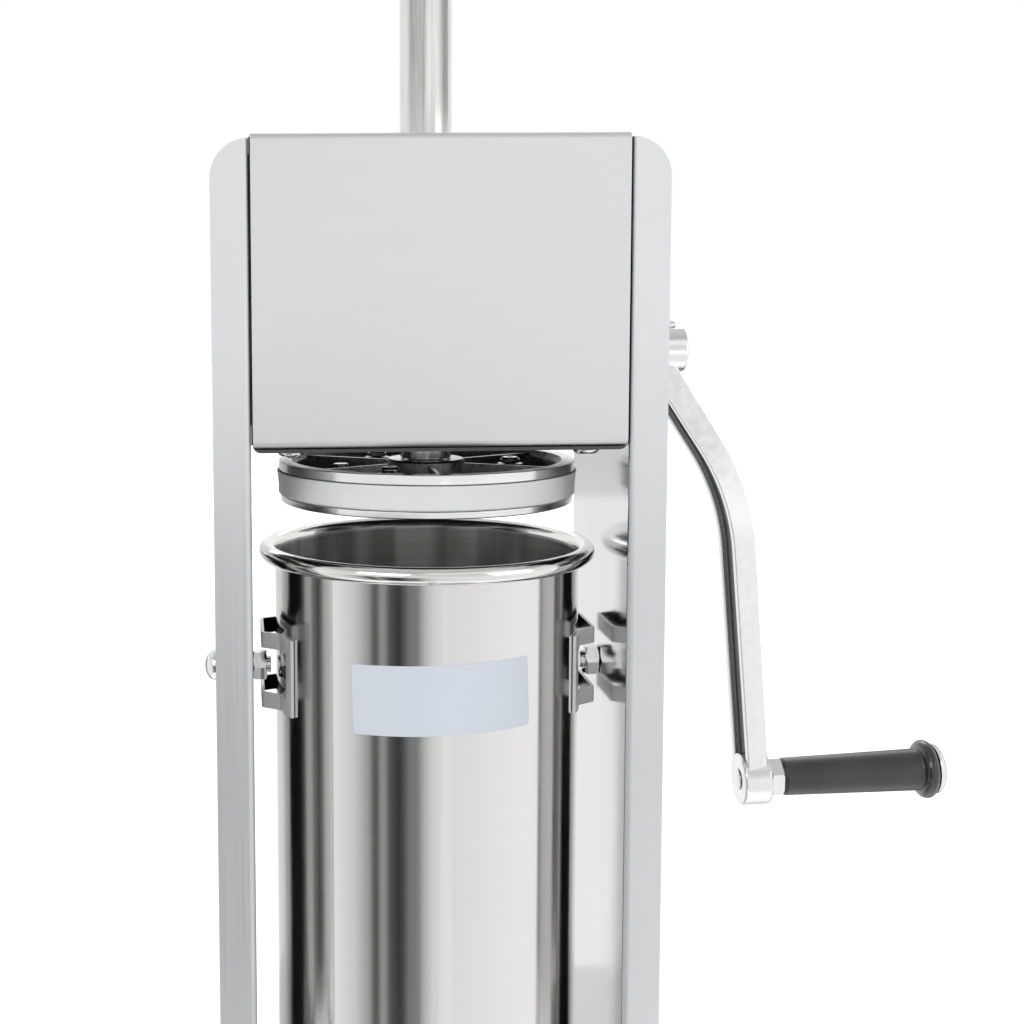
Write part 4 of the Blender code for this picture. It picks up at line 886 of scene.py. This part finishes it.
def make_shafts():
    far_end = web_outer + 10 * MM
    chamfer = 1.5 * MM
    for name, here, right_end in (("fast_shaft", fast_frame, web_outer + 26 * MM),
                                  ("slow_shaft", slow_frame, web_outer + hub_start + hub_length - 1 * MM)):
        outline = [(shaft_radius - chamfer, -far_end), (shaft_radius, -far_end + chamfer),
                   (shaft_radius, right_end - chamfer), (shaft_radius - chamfer, right_end)]
        stand_in(name, turned(outline, 48, ease=0.5 * MM), here, bright_steel)


# Piston and rod

def make_rod():
    module = 2.0 * MM
    pressure = math.radians(25.0)
    low = land_high + gap
    high = cover_top + 322 * MM
    stud_low = piston_under - gap - 8 * MM
    stud, rod, chamfer = 8 * MM, 12 * MM, 1.5 * MM
    outline = [(stud, stud_low), (stud, low), (rod, low), (rod, high - chamfer), (rod - chamfer, high)]
    pitch = math.pi * module
    tip = 8 * MM + module * 0.8
    root = 8 * MM - module * 1.05
    at_tip = pitch / 4 + 0.15 * MM + module * 0.8 * math.tan(pressure)
    at_root = pitch / 4 + 0.15 * MM - module * 1.05 * math.tan(pressure)
    below = int((fast_level - (cover_foot - gap + 10 * MM)) / pitch) - 1
    above = int((high - 3 * MM - fast_level) / pitch) - 1
    profile = []
    for number in range(-below, above + 1):
        middle = fast_level + number * pitch
        profile += [(tip, middle - at_tip), (root, middle - at_root), (root, middle + at_root),
                    (tip, middle + at_tip)]
    reach = 14 * MM
    outline_cut = profile + [(reach, profile[-1][1]), (reach, profile[0][1])]
    cutter = skin([[Vector((x, y, z)) for y, z in outline_cut] for x in (-reach, reach)])
    stand_in("rack", turned(outline, 72, ease=0.4 * MM), upright, rod_steel,
             (cutter, upright, "DIFFERENCE"), crease=25.0)


def make_piston():
    upper = bore_radius - 1.3 * MM
    lower = bore_radius - 2.2 * MM
    cavity = upper - 6.6 * MM
    register = cavity + 2.4 * MM
    cavity_low = seal_low + 3 * MM
    lower_top = piston_under + lower_plate
    # Upper plate: a turned rim round a cast cavity with ribs and bosses
    outline = [(register, seal_low), (register, land_low), (upper, land_low), (upper, land_high),
               (cavity + 0.8 * MM, land_high), (cavity - 1.4 * MM, land_high - 2.6 * MM),
               (cavity - 2.0 * MM, cavity_low + 2.2 * MM), (cavity - 4.6 * MM, cavity_low)]
    plate = add_object("piston_upper_plate_fine", turned(outline, round_sides, ease=0.3 * MM), upright,
                       cast_shade_metal)
    tools = []
    thirds = [(plate_screw_reach * math.cos(angle), plate_screw_reach * math.sin(angle))
              for angle in (2 * math.pi * number / 3 for number in range(3))]
    foot = cavity_low - 1.5 * MM
    hub = [(20.5 * MM, foot), (20.5 * MM, cavity_low), (19.2 * MM, cavity_low + 1.6 * MM),
           (18.4 * MM, land_high - 0.8 * MM), (17.6 * MM, land_high), (11.5 * MM, land_high),
           (11.0 * MM, land_high - 0.6 * MM)]
    tools.append((turned(hub, 48, ease=0.4 * MM), upright, "UNION"))
    for number in range(6):
        angle = math.pi / 6 + 2 * math.pi * number / 6
        # A rib is thick at its foot and thins towards its bright upper edge
        section = eased([(-2.3 * MM, foot), (2.3 * MM, foot), (1.7 * MM, cavity_low + 1.2 * MM),
                         (1.05 * MM, land_high - 1.5 * MM), (-1.05 * MM, land_high - 1.5 * MM),
                         (-1.7 * MM, cavity_low + 1.2 * MM)], 0.35 * MM, 3)
        rib = skin([[Vector((x, p.x, p.y)) for p in section] for x in (9.5 * MM, cavity + 1.2 * MM)])
        tools.append((rib, at((0, 0, 0), (0, 0, angle)), "UNION"))
    boss_top = land_high - 3 * MM
    boss = [(7.6 * MM, foot), (7.6 * MM, cavity_low), (6.6 * MM, cavity_low + 1.2 * MM), (6.1 * MM, boss_top)]
    for x, y in thirds:
        tools.append((turned(boss, 40, ease=0.4 * MM), at((x, y, 0)), "UNION"))
    for x, y in thirds:
        tools.append(drill(plate_screw_radius + gap, (x, y, seal_low), "Z", 60 * MM, upright, 24))
    tools.append(drill(8 * MM + gap, (0, 0, seal_low), "Z", 60 * MM, upright))
    shape(plate, *tools)
    plate.data.materials.append(turned_metal)
    # The machined faces: the rim's outside and top, the hub's and bosses' tops and the ribs' upper edges; the
    # rest keeps the dark cast metal, its own as-cast tone darkened further with painted shade in the cavity
    for face in plate.data.polygons:
        centre = face.center
        out = math.hypot(centre.x, centre.y)
        top = face.normal.z > 0.9 and centre.z > cavity_low + 2 * MM
        if top or out > cavity + 0.1 * MM or centre.z < seal_low + 0.2 * MM:
            face.material_index = 1
    finish_piece(plate, "piston", "piston_upper_plate", crease=38.0)
    # Seal: soft, with a thin upper lip turned out
    seal = bore_radius - 0.4 * MM
    high = seal_low + seal_height
    outline = [(register + gap, seal_low), (seal - 1.5 * MM, seal_low),
               (seal - 0.75 * MM, seal_low + 0.7 * MM), (seal - 0.7 * MM, seal_low + 4.5 * MM),
               (seal - 0.45 * MM, high - 3.4 * MM),
               (seal - 0.15 * MM, high - 1.2 * MM), (seal, high - 0.45 * MM), (seal - 0.15 * MM, high),
               (seal - 1.1 * MM, high - 0.1 * MM), (seal - 1.9 * MM, high - 0.5 * MM),
               (register + gap, high - 0.5 * MM)]
    stand_in("piston_seal", turned(outline, round_sides, True, ease=0.25 * MM), upright, silicone)
    # Lower plate
    outline = [(lower - 0.5 * MM, piston_under), (lower, piston_under + 0.5 * MM), (lower, lower_top)]
    tools = [drill(8 * MM + gap, (0, 0, piston_under + 1.6 * MM), "Z", 8 * MM, upright)]
    middle = lower_top - lower_plate / 4 + gap / 2
    depth = lower_plate / 2 + 2 * gap
    tools += [drill(plate_screw_radius + gap, (x, y, middle), "Z", depth, upright, 24) for x, y in thirds]
    shell = turned(outline, round_sides, ease=0.25 * MM)
    stand_in("piston_lower_plate", shell, upright, turned_metal, *tools)
    # Hexagon-socket screws
    top = boss_top + gap
    head = 4.5 * MM
    outline = [(plate_screw_radius, lower_top - lower_plate / 2), (plate_screw_radius, top), (head, top),
               (head, top + 1.7 * MM), (3.4 * MM, top + 2.7 * MM)]
    for number, (x, y) in enumerate(thirds, 1):
        socket = hexagon_shell(3.0 * MM, top + 0.9 * MM, top + 5 * MM)
        here = at((x, y, 0))
        stand_in(f"plate_screw_{number}", turned(outline, small_sides, ease=0.3 * MM), here, bright_steel,
                 (socket, here, "DIFFERENCE"))
    high = piston_under - gap
    nut = chamfered_hexagon("rack_nut_fine", math.sqrt(3) * 14 * MM, high - 8 * MM, high, upright,
                            bright_steel)
    shape(nut, drill(8 * MM + gap, (0, 0, high), "Z", 24 * MM, upright))
    finish_piece(nut, "piston", "rack_nut")
    # Air valve
    low = cavity_low + gap
    here = at((-plate_screw_reach, 0, 0))
    outline = [(2.6 * MM, low), (6 * MM, low), (6 * MM, low + 2.6 * MM), (5.2 * MM, low + 3.0 * MM),
               (5.2 * MM, low + 7 * MM), (2.6 * MM, low + 7 * MM)]
    stand_in("valve_body", turned(outline, small_sides, True), here, bright_steel)
    knob = low + 7 * MM + gap
    outline = [(2.2 * MM, low + gap), (2.2 * MM, knob), (3.6 * MM, knob), (3.6 * MM, knob + 3 * MM)]
    stand_in("valve_stem", turned(outline, small_sides, ease=0.6 * MM), here, bright_steel)


# Crank and grip

def arm_axes(along):
    """Directions across the arm's thickness and depth; its section is twisted a little towards the front."""
    twist = math.radians(-7.0)
    level = Vector((along.z, 0, -along.x))
    across = level * math.cos(twist) + Vector((0, math.sin(twist), 0))
    return across, Vector((0, math.cos(twist), 0)) - level * math.sin(twist)


def arm_thickness(share):
    """Thick at the hub, thinner through the bend and slim at the grip."""
    return (12.6 - 4.4 * share if share < 0.35 else 11.06 - 2.2 * (share - 0.35)) * MM


def arm_ring(middle, along, thickness, half):
    across, deep = arm_axes(along)
    inner = half - 3.6 * MM
    thick = thickness / 2
    thin = thick - 2.6 * MM
    outline = eased([(-thick, -half), (thick, -half), (thick, -inner), (thin, -inner + 0.5 * MM),
                     (thin, inner - 0.5 * MM), (thick, inner), (thick, half), (-thick, half), (-thick, inner),
                     (-thin, inner - 0.5 * MM), (-thin, -inner + 0.5 * MM), (-thick, -inner)], 0.6 * MM, 3)
    points = [middle + across * p.x + deep * p.y for p in outline]
    return [Vector((-p.z, p.y, p.x)) for p in points]


def make_crank():
    top_angle, low_angle, radius = math.radians(32.3), math.radians(4.5), 112 * MM
    hub_middle = web_outer + hub_start + hub_length / 2
    start = Vector((web_outer + 24.4 * MM, 0, 0))
    end = Vector((web_outer + boss_start + 6.2 * MM, 0, -crank_radius))
    first = Vector((math.sin(top_angle), 0, -math.cos(top_angle)))
    last = Vector((math.sin(low_angle), 0, -math.cos(low_angle)))
    span = end - start
    reach = (span.x * last.z - span.z * last.x) / (first.x * last.z - first.z * last.x)
    corner = start + first * reach
    tangent = radius * math.tan((top_angle - low_angle) / 2)
    bend_start = corner - first * tangent
    centre = bend_start + Vector((first.z, 0, -first.x)) * radius
    stations = [(start, first), ((start + bend_start) / 2, first)]
    steps = 26
    for i in range(steps + 1):
        angle = top_angle + (low_angle - top_angle) * i / steps
        along = Vector((math.sin(angle), 0, -math.cos(angle)))
        stations.append((centre - Vector((along.z, 0, -along.x)) * radius, along))
    stations += [((stations[-1][0] + end) / 2, last), (end, last)]
    rings = []
    for middle, along in stations:
        share = -middle.z / crank_radius
        half = 10 * MM - 1.6 * MM * max(0.0, 1 - share / 0.22)
        rings.append(arm_ring(middle, along, arm_thickness(share), half))
    arm = add_object("crank_arm_fine", skin(rings), slow_frame, arm_steel)
    hub_low = web_outer + hub_start
    hub_high = hub_low + hub_length
    hub_radius = 11.3 * MM
    hub = turned([(hub_radius, hub_low), (hub_radius, hub_high)], 72, ease=1.1 * MM, steps=5)
    boss_radius = 12.8 * MM
    boss = turned([(boss_radius, 0.0), (boss_radius, boss_length)], 72, ease=1.3 * MM, steps=5)
    place = (0, 0, hub_high - 6.8 * MM)
    screw_frame = at(place, (0, -math.pi / 2, 0), slow_frame)
    hole = turned([(2.5 * MM + gap, 0.0), (2.5 * MM + gap, hub_radius + 2 * MM)], 24, ease=0.0)
    shape(arm, (hub, slow_frame, "UNION"), (boss, grip_frame, "UNION"),
          drill(shaft_radius + gap, (0, 0, hub_middle), "Z", hub_length + 4 * MM, slow_frame, 48),
          drill(4 * MM + gap, (0, 0, boss_length / 2), "Z", boss_length + 4 * MM, grip_frame),
          (hole, screw_frame, "DIFFERENCE"))
    # The grooves in its sides are rougher and painted darker: painted shade in the recesses
    arm.data.materials.append(groove_shade_steel)
    for face in arm.data.polygons:
        centre = Vector((face.center.z, face.center.y, -face.center.x))
        middle, along = min(stations, key=lambda station: abs((centre - station[0]).dot(station[1])))
        across, deep = arm_axes(along)
        aside = abs((centre - middle).dot(across))
        share = -centre.z / crank_radius
        thick = arm_thickness(share) / 2
        clear = abs(centre.z) > hub_radius and abs(centre.z + crank_radius) > boss_radius
        if clear and aside < thick - 0.7 * MM and abs((centre - middle).dot(deep)) < 6.6 * MM:
            face.material_index = 1
    finish_piece(arm, "crank", "crank_arm", crease=36.0)
    seat = hub_radius + gap
    outline = [(2.5 * MM, shaft_radius + gap), (2.5 * MM, seat), (3.4 * MM, seat)]
    outline += dome(3.4 * MM, 2.4 * MM, seat + gap)
    slot_cut = block((-0.4 * MM, -5 * MM, seat + 1.7 * MM), (0.4 * MM, 5 * MM, seat + 6 * MM))
    stand_in("crank_screw", turned(outline, small_sides, ease=0.2 * MM), screw_frame, bright_steel,
             (slot_cut, screw_frame, "DIFFERENCE"))


def make_grip():
    spindle = 4 * MM
    collar_low = boss_length + 3 * gap
    collar_high = collar_low + 6 * MM
    grip_low = collar_high + gap
    disc_low = 90.2 * MM
    disc = 7 * MM
    barrel = disc_low - grip_low
    # Spindle with a riveted head and a hexagonal collar that is turned down at its ends
    outline = [(5.4 * MM, -gap), (spindle, -gap), (spindle, collar_low),
               (9.8 * MM, collar_low), (9.8 * MM, collar_high), (spindle, collar_high),
               (spindle, disc_low + disc / 2)]
    outline = [(r, -gap - h) for r, h in dome(5.4 * MM, 0.7 * MM, 0.2 * MM, 6)][::-1] + outline
    trim = skin([circle(9.8 * MM, z, 6, math.radians(8.0)) for z in (collar_low - MM, collar_high + MM)])
    helper_low = skin([circle(20 * MM, z, 24) for z in (-10 * MM, collar_low - 0.2 * MM)])
    helper_high = skin([circle(20 * MM, z, 24) for z in (collar_high + 0.2 * MM, 120 * MM)])
    envelope = add_object("collar_envelope", trim, grip_frame)
    shape(envelope, (helper_low, grip_frame, "UNION"), (helper_high, grip_frame, "UNION"))
    shell = bmesh.new()
    shell.from_mesh(envelope.data)
    bpy.data.objects.remove(envelope, do_unlink=True)
    stand_in("grip_spindle", turned(outline, 72, ease=0.9 * MM, steps=4), grip_frame, arm_steel,
             (shell, grip_frame, "INTERSECT"))
    inner = spindle + gap
    outline = [(inner, grip_low), (8.2 * MM, grip_low), (9.2 * MM, grip_low + 1.6 * MM)]
    for i in range(1, 9):
        share = i / 8
        outline.append((9.2 * MM + 1.1 * MM * share, grip_low + 1.6 * MM + (barrel - 2.4 * MM) * share))
    disc_radius = 14.3 * MM
    half = disc / 2
    for i in range(15):
        angle = -math.pi / 2 + math.pi * i / 14
        outline.append((disc_radius - half + half * math.cos(angle),
                        disc_low + half + half * math.sin(angle)))
    outline.append((inner, disc_low + disc))
    grip = add_object("grip_fine", turned(outline, 72, True, ease=0.4 * MM), grip_frame, grip_plastic)
    grip.data.materials.append(gloss_plastic)
    for face in grip.data.polygons:
        if face.center.z > disc_low - 0.3 * MM:
            face.material_index = 1
    finish_piece(grip, "grip_set", "grip", crease=45.0)
    cap_low = disc_low + disc + gap
    outline = [(12.4 * MM, cap_low)] + dome(12.4 * MM, 5.4 * MM, cap_low + gap, 10)
    stand_in("grip_cap", turned(outline, 64, ease=0.4 * MM), grip_frame, bright_steel, crease=50.0)


# Studio

def make_stage():
    """Pale floor, plain backdrop and soft lights; the floor and world show white and keep the shadow."""
    shell = skin([[Vector((x, y, z)) for x, y in ((-9, -9), (9, -9), (9, 9), (-9, 9))] for z in (-0.02, 0.0)])
    material, tree, shader = start_material("Pale floor")
    tree.nodes.remove(shader)
    light_path = add_node(tree, "ShaderNodeLightPath")
    place = add_node(tree, "ShaderNodeSeparateXYZ", {0: object_point(tree)})
    # Seen in the metal, the floor's glow is darker behind the drum: painted shade in reflections
    fronted = spread(tree, place.outputs["Y"], 0.80, 1.0, -0.8, 0.3)
    shaded = combined(tree, "MULTIPLY", fronted, spread(tree, place.outputs["Y"], 1.0, 0.35, 0.10, 0.22))
    mirrored = combined(tree, "MULTIPLY", light_path.outputs["Is Glossy Ray"], shaded)
    seen = combined(tree, "MAXIMUM", light_path.outputs["Is Camera Ray"], mirrored)
    seen = combined(tree, "MAXIMUM", seen, light_path.outputs["Is Transmission Ray"])
    speck = noise(tree, object_point(tree), 60.0, 3.0)
    colour = blend_colour(tree, spread(tree, speck, 0.0, 0.3), (0.86, 0.86, 0.86), (0.82, 0.82, 0.82))
    dull = add_node(tree, "ShaderNodeBsdfDiffuse", {"Color": colour})
    away = add_node(tree, "ShaderNodeVectorMath", {0: object_point(tree)}, operation="LENGTH")
    whiteness = spread(tree, away.outputs["Value"], 0.66, 1.0, 0.5, 2.5)
    glow = add_node(tree, "ShaderNodeEmission", {"Strength": combined(tree, "MULTIPLY", seen, whiteness)})
    both = add_node(tree, "ShaderNodeAddShader", {0: dull.outputs[0], 1: glow.outputs[0]})
    tree.links.new(both.outputs[0], tree.nodes["Material Output"].inputs["Surface"])
    floor = add_object("studio_floor", shell, Matrix.Identity(4), material)

    # World: white where it is seen or mirrored, softer as a light, darker overhead
    world = bpy.data.worlds.new("Studio")
    bpy.context.scene.world = world
    world.use_nodes = True
    tree = world.node_tree
    background = tree.nodes["Background"]
    light_path = add_node(tree, "ShaderNodeLightPath")
    ray = add_node(tree, "ShaderNodeNewGeometry").outputs["Normal"]
    parts = add_node(tree, "ShaderNodeSeparateXYZ", {0: ray})
    # The world's Normal points back at the viewer of the ray, so its Z is turned
    height = combined(tree, "MULTIPLY", parts.outputs["Z"], -1.0)
    lit = combined(tree, "MULTIPLY", spread(tree, height, 1.0, 0.30, 0.25, 0.85), 0.80)
    softer = spread(tree, parts.outputs["Y"], 1.0, 0.80, -0.1, 0.5)
    mirrored = combined(tree, "MULTIPLY", softer, spread(tree, height, 1.0, 0.66, 0.25, 0.85))
    level = add_node(tree, "ShaderNodeMix", data_type="FLOAT")
    for key, value in (("Factor_Float", light_path.outputs["Is Glossy Ray"]), ("A_Float", lit),
                       ("B_Float", mirrored)):
        tree.links.new(value, find_socket(level.inputs, key))
    strength = combined(tree, "MAXIMUM", light_path.outputs["Is Camera Ray"],
                        find_socket(level.outputs, "Result_Float"))
    tree.links.new(strength, background.inputs["Strength"])
    background.inputs["Color"].default_value = (1.0, 1.0, 1.0, 1.0)

    # A ring of grey cards, seen only in the metal: (azimuth from the front, brightness)
    low_bands = ((-180, 1.0), (-154, 1.0), (-142, 0.40), (-130, 0.25), (-118, 0.70), (-106, 1.0), (-75, 0.95),
                 (-56, 0.70), (-45, 0.36), (-42, 0.12), (-39, 0.10), (-37, 0.34), (-34, 0.34), (-31, 0.10),
                 (-24, 0.035), (-20, 0.12), (-17, 0.22), (-12, 0.22), (-7, 0.55), (-1, 0.78), (8, 0.86),
                 (60, 1.0), (100, 1.0), (112, 0.30), (122, 0.22), (134, 0.75), (152, 1.0), (180, 1.0))
    # Higher cards are for the rod
    high_bands = ((-180, 1.0), (-88, 1.0), (-82, 0.52), (-12, 0.52), (-4, 1.0), (50, 1.0), (60, 0.72),
                  (76, 0.42), (104, 0.42), (112, 1.0), (180, 1.0))
    material, tree, shader = start_material("Grey cards")
    tree.nodes.remove(shader)
    tone = add_node(tree, "ShaderNodeAttribute", attribute_name="tone")
    glow = add_node(tree, "ShaderNodeEmission", {"Color": tone.outputs["Color"]})
    tree.links.new(glow.outputs[0], tree.nodes["Material Output"].inputs["Surface"])
    steps = 240
    reach = 0.38
    for name, low, high, bands in (("studio_cards", 0.001, 0.35, low_bands),
                                   ("studio_high_cards", 0.61, 0.80, high_bands)):
        shell = bmesh.new()
        turns = [2 * math.pi * i / steps for i in range(steps)]
        rows = [[shell.verts.new((axis_x + reach * math.sin(turn), axis_y - reach * math.cos(turn), z))
                 for turn in turns] for z in (low, high)]
        for i in range(steps):
            j = (i + 1) % steps
            shell.faces.new((rows[0][i], rows[0][j], rows[1][j], rows[1][i]))
        cards = add_object(name, shell, Matrix.Identity(4), material)
        tones = cards.data.attributes.new("tone", "FLOAT_COLOR", "POINT")
        for vertex, value in zip(cards.data.vertices, tones.data):
            azimuth = math.degrees(math.atan2(vertex.co.x - axis_x, axis_y - vertex.co.y))
            after = next(i for i, (a, _) in enumerate(bands) if a >= azimuth - 1e-6 and i > 0)
            (a0, t0), (a1, t1) = bands[after - 1], bands[after]
            tone_here = t0 + (t1 - t0) * (azimuth - a0) / (a1 - a0)
            value.color = (tone_here, tone_here, tone_here, 1.0)
        for kind in ("camera", "diffuse", "transmission", "volume_scatter", "shadow"):
            setattr(cards, "visible_" + kind, False)

    for name, place, size, power in (("key", (-1.5, -1.9, 1.9), 1.6, 22.0),
                                     ("fill", (2.1, -1.6, 1.2), 1.5, 10.0),
                                     ("back", (0.4, 2.2, 2.0), 1.6, 10.0)):
        lamp = bpy.data.lights.new(name, "AREA")
        lamp.shape = "SQUARE"
        lamp.size = size
        lamp.energy = power
        thing = bpy.data.objects.new(name, lamp)
        thing.location = place
        aim = Vector((0, 0, 0.38)) - Vector(place)
        thing.rotation_euler = aim.to_track_quat("-Z", "Y").to_euler()
        bpy.context.scene.collection.objects.link(thing)
    bpy.context.scene.view_settings.view_transform = "Standard"


def make_camera():
    """The photograph's viewpoint, with its frame 1024 pixels wide."""
    yaw, pitch, roll = 0.0367, 0.1003, -0.0076
    focal, middle_x, middle_y, pixels = 1605.5765, 300.0, 440.0, 1024
    forward = Vector((math.sin(yaw) * math.cos(pitch), math.cos(yaw) * math.cos(pitch), -math.sin(pitch)))
    right = Vector((math.cos(yaw), -math.sin(yaw), 0))
    up = right.cross(forward)
    level_right = right * math.cos(roll) + up * math.sin(roll)
    level_up = up * math.cos(roll) - right * math.sin(roll)
    camera = bpy.data.cameras.new("camera")
    camera.sensor_width = 36.0
    camera.lens = focal * camera.sensor_width / pixels
    camera.shift_x = (pixels / 2 - middle_x) / pixels
    camera.shift_y = (middle_y - pixels / 2) / pixels
    camera.clip_start, camera.clip_end = 0.01, 50.0
    thing = bpy.data.objects.new("camera", camera)
    turn = Matrix((level_right, level_up, -forward)).transposed().to_4x4()
    place = Vector((-0.0866901 + axis_x, -0.7495665 + axis_y, 0.1274295 + rim_level))
    thing.matrix_world = Matrix.Translation(place) @ turn
    bpy.context.scene.collection.objects.link(thing)
    bpy.context.scene.camera = thing


make_camera()
make_cylinder()
make_brackets()
make_outlet()
make_sticker()
make_columns()
make_base()
make_pivots()
make_box()
make_shafts()
make_rod()
make_piston()
make_crank()
make_grip()
# The gearbox floor gets the near-black painted shade steel
for kept, finish in (("gearbox_floor", floor_shade_steel), ("rack_pinion", gear_steel), ("drive_gear", gear_steel),
                     ("slow_pinion", gear_steel)):
    for place in nodes[kept].material_slots:
        place.material = finish
make_stage()
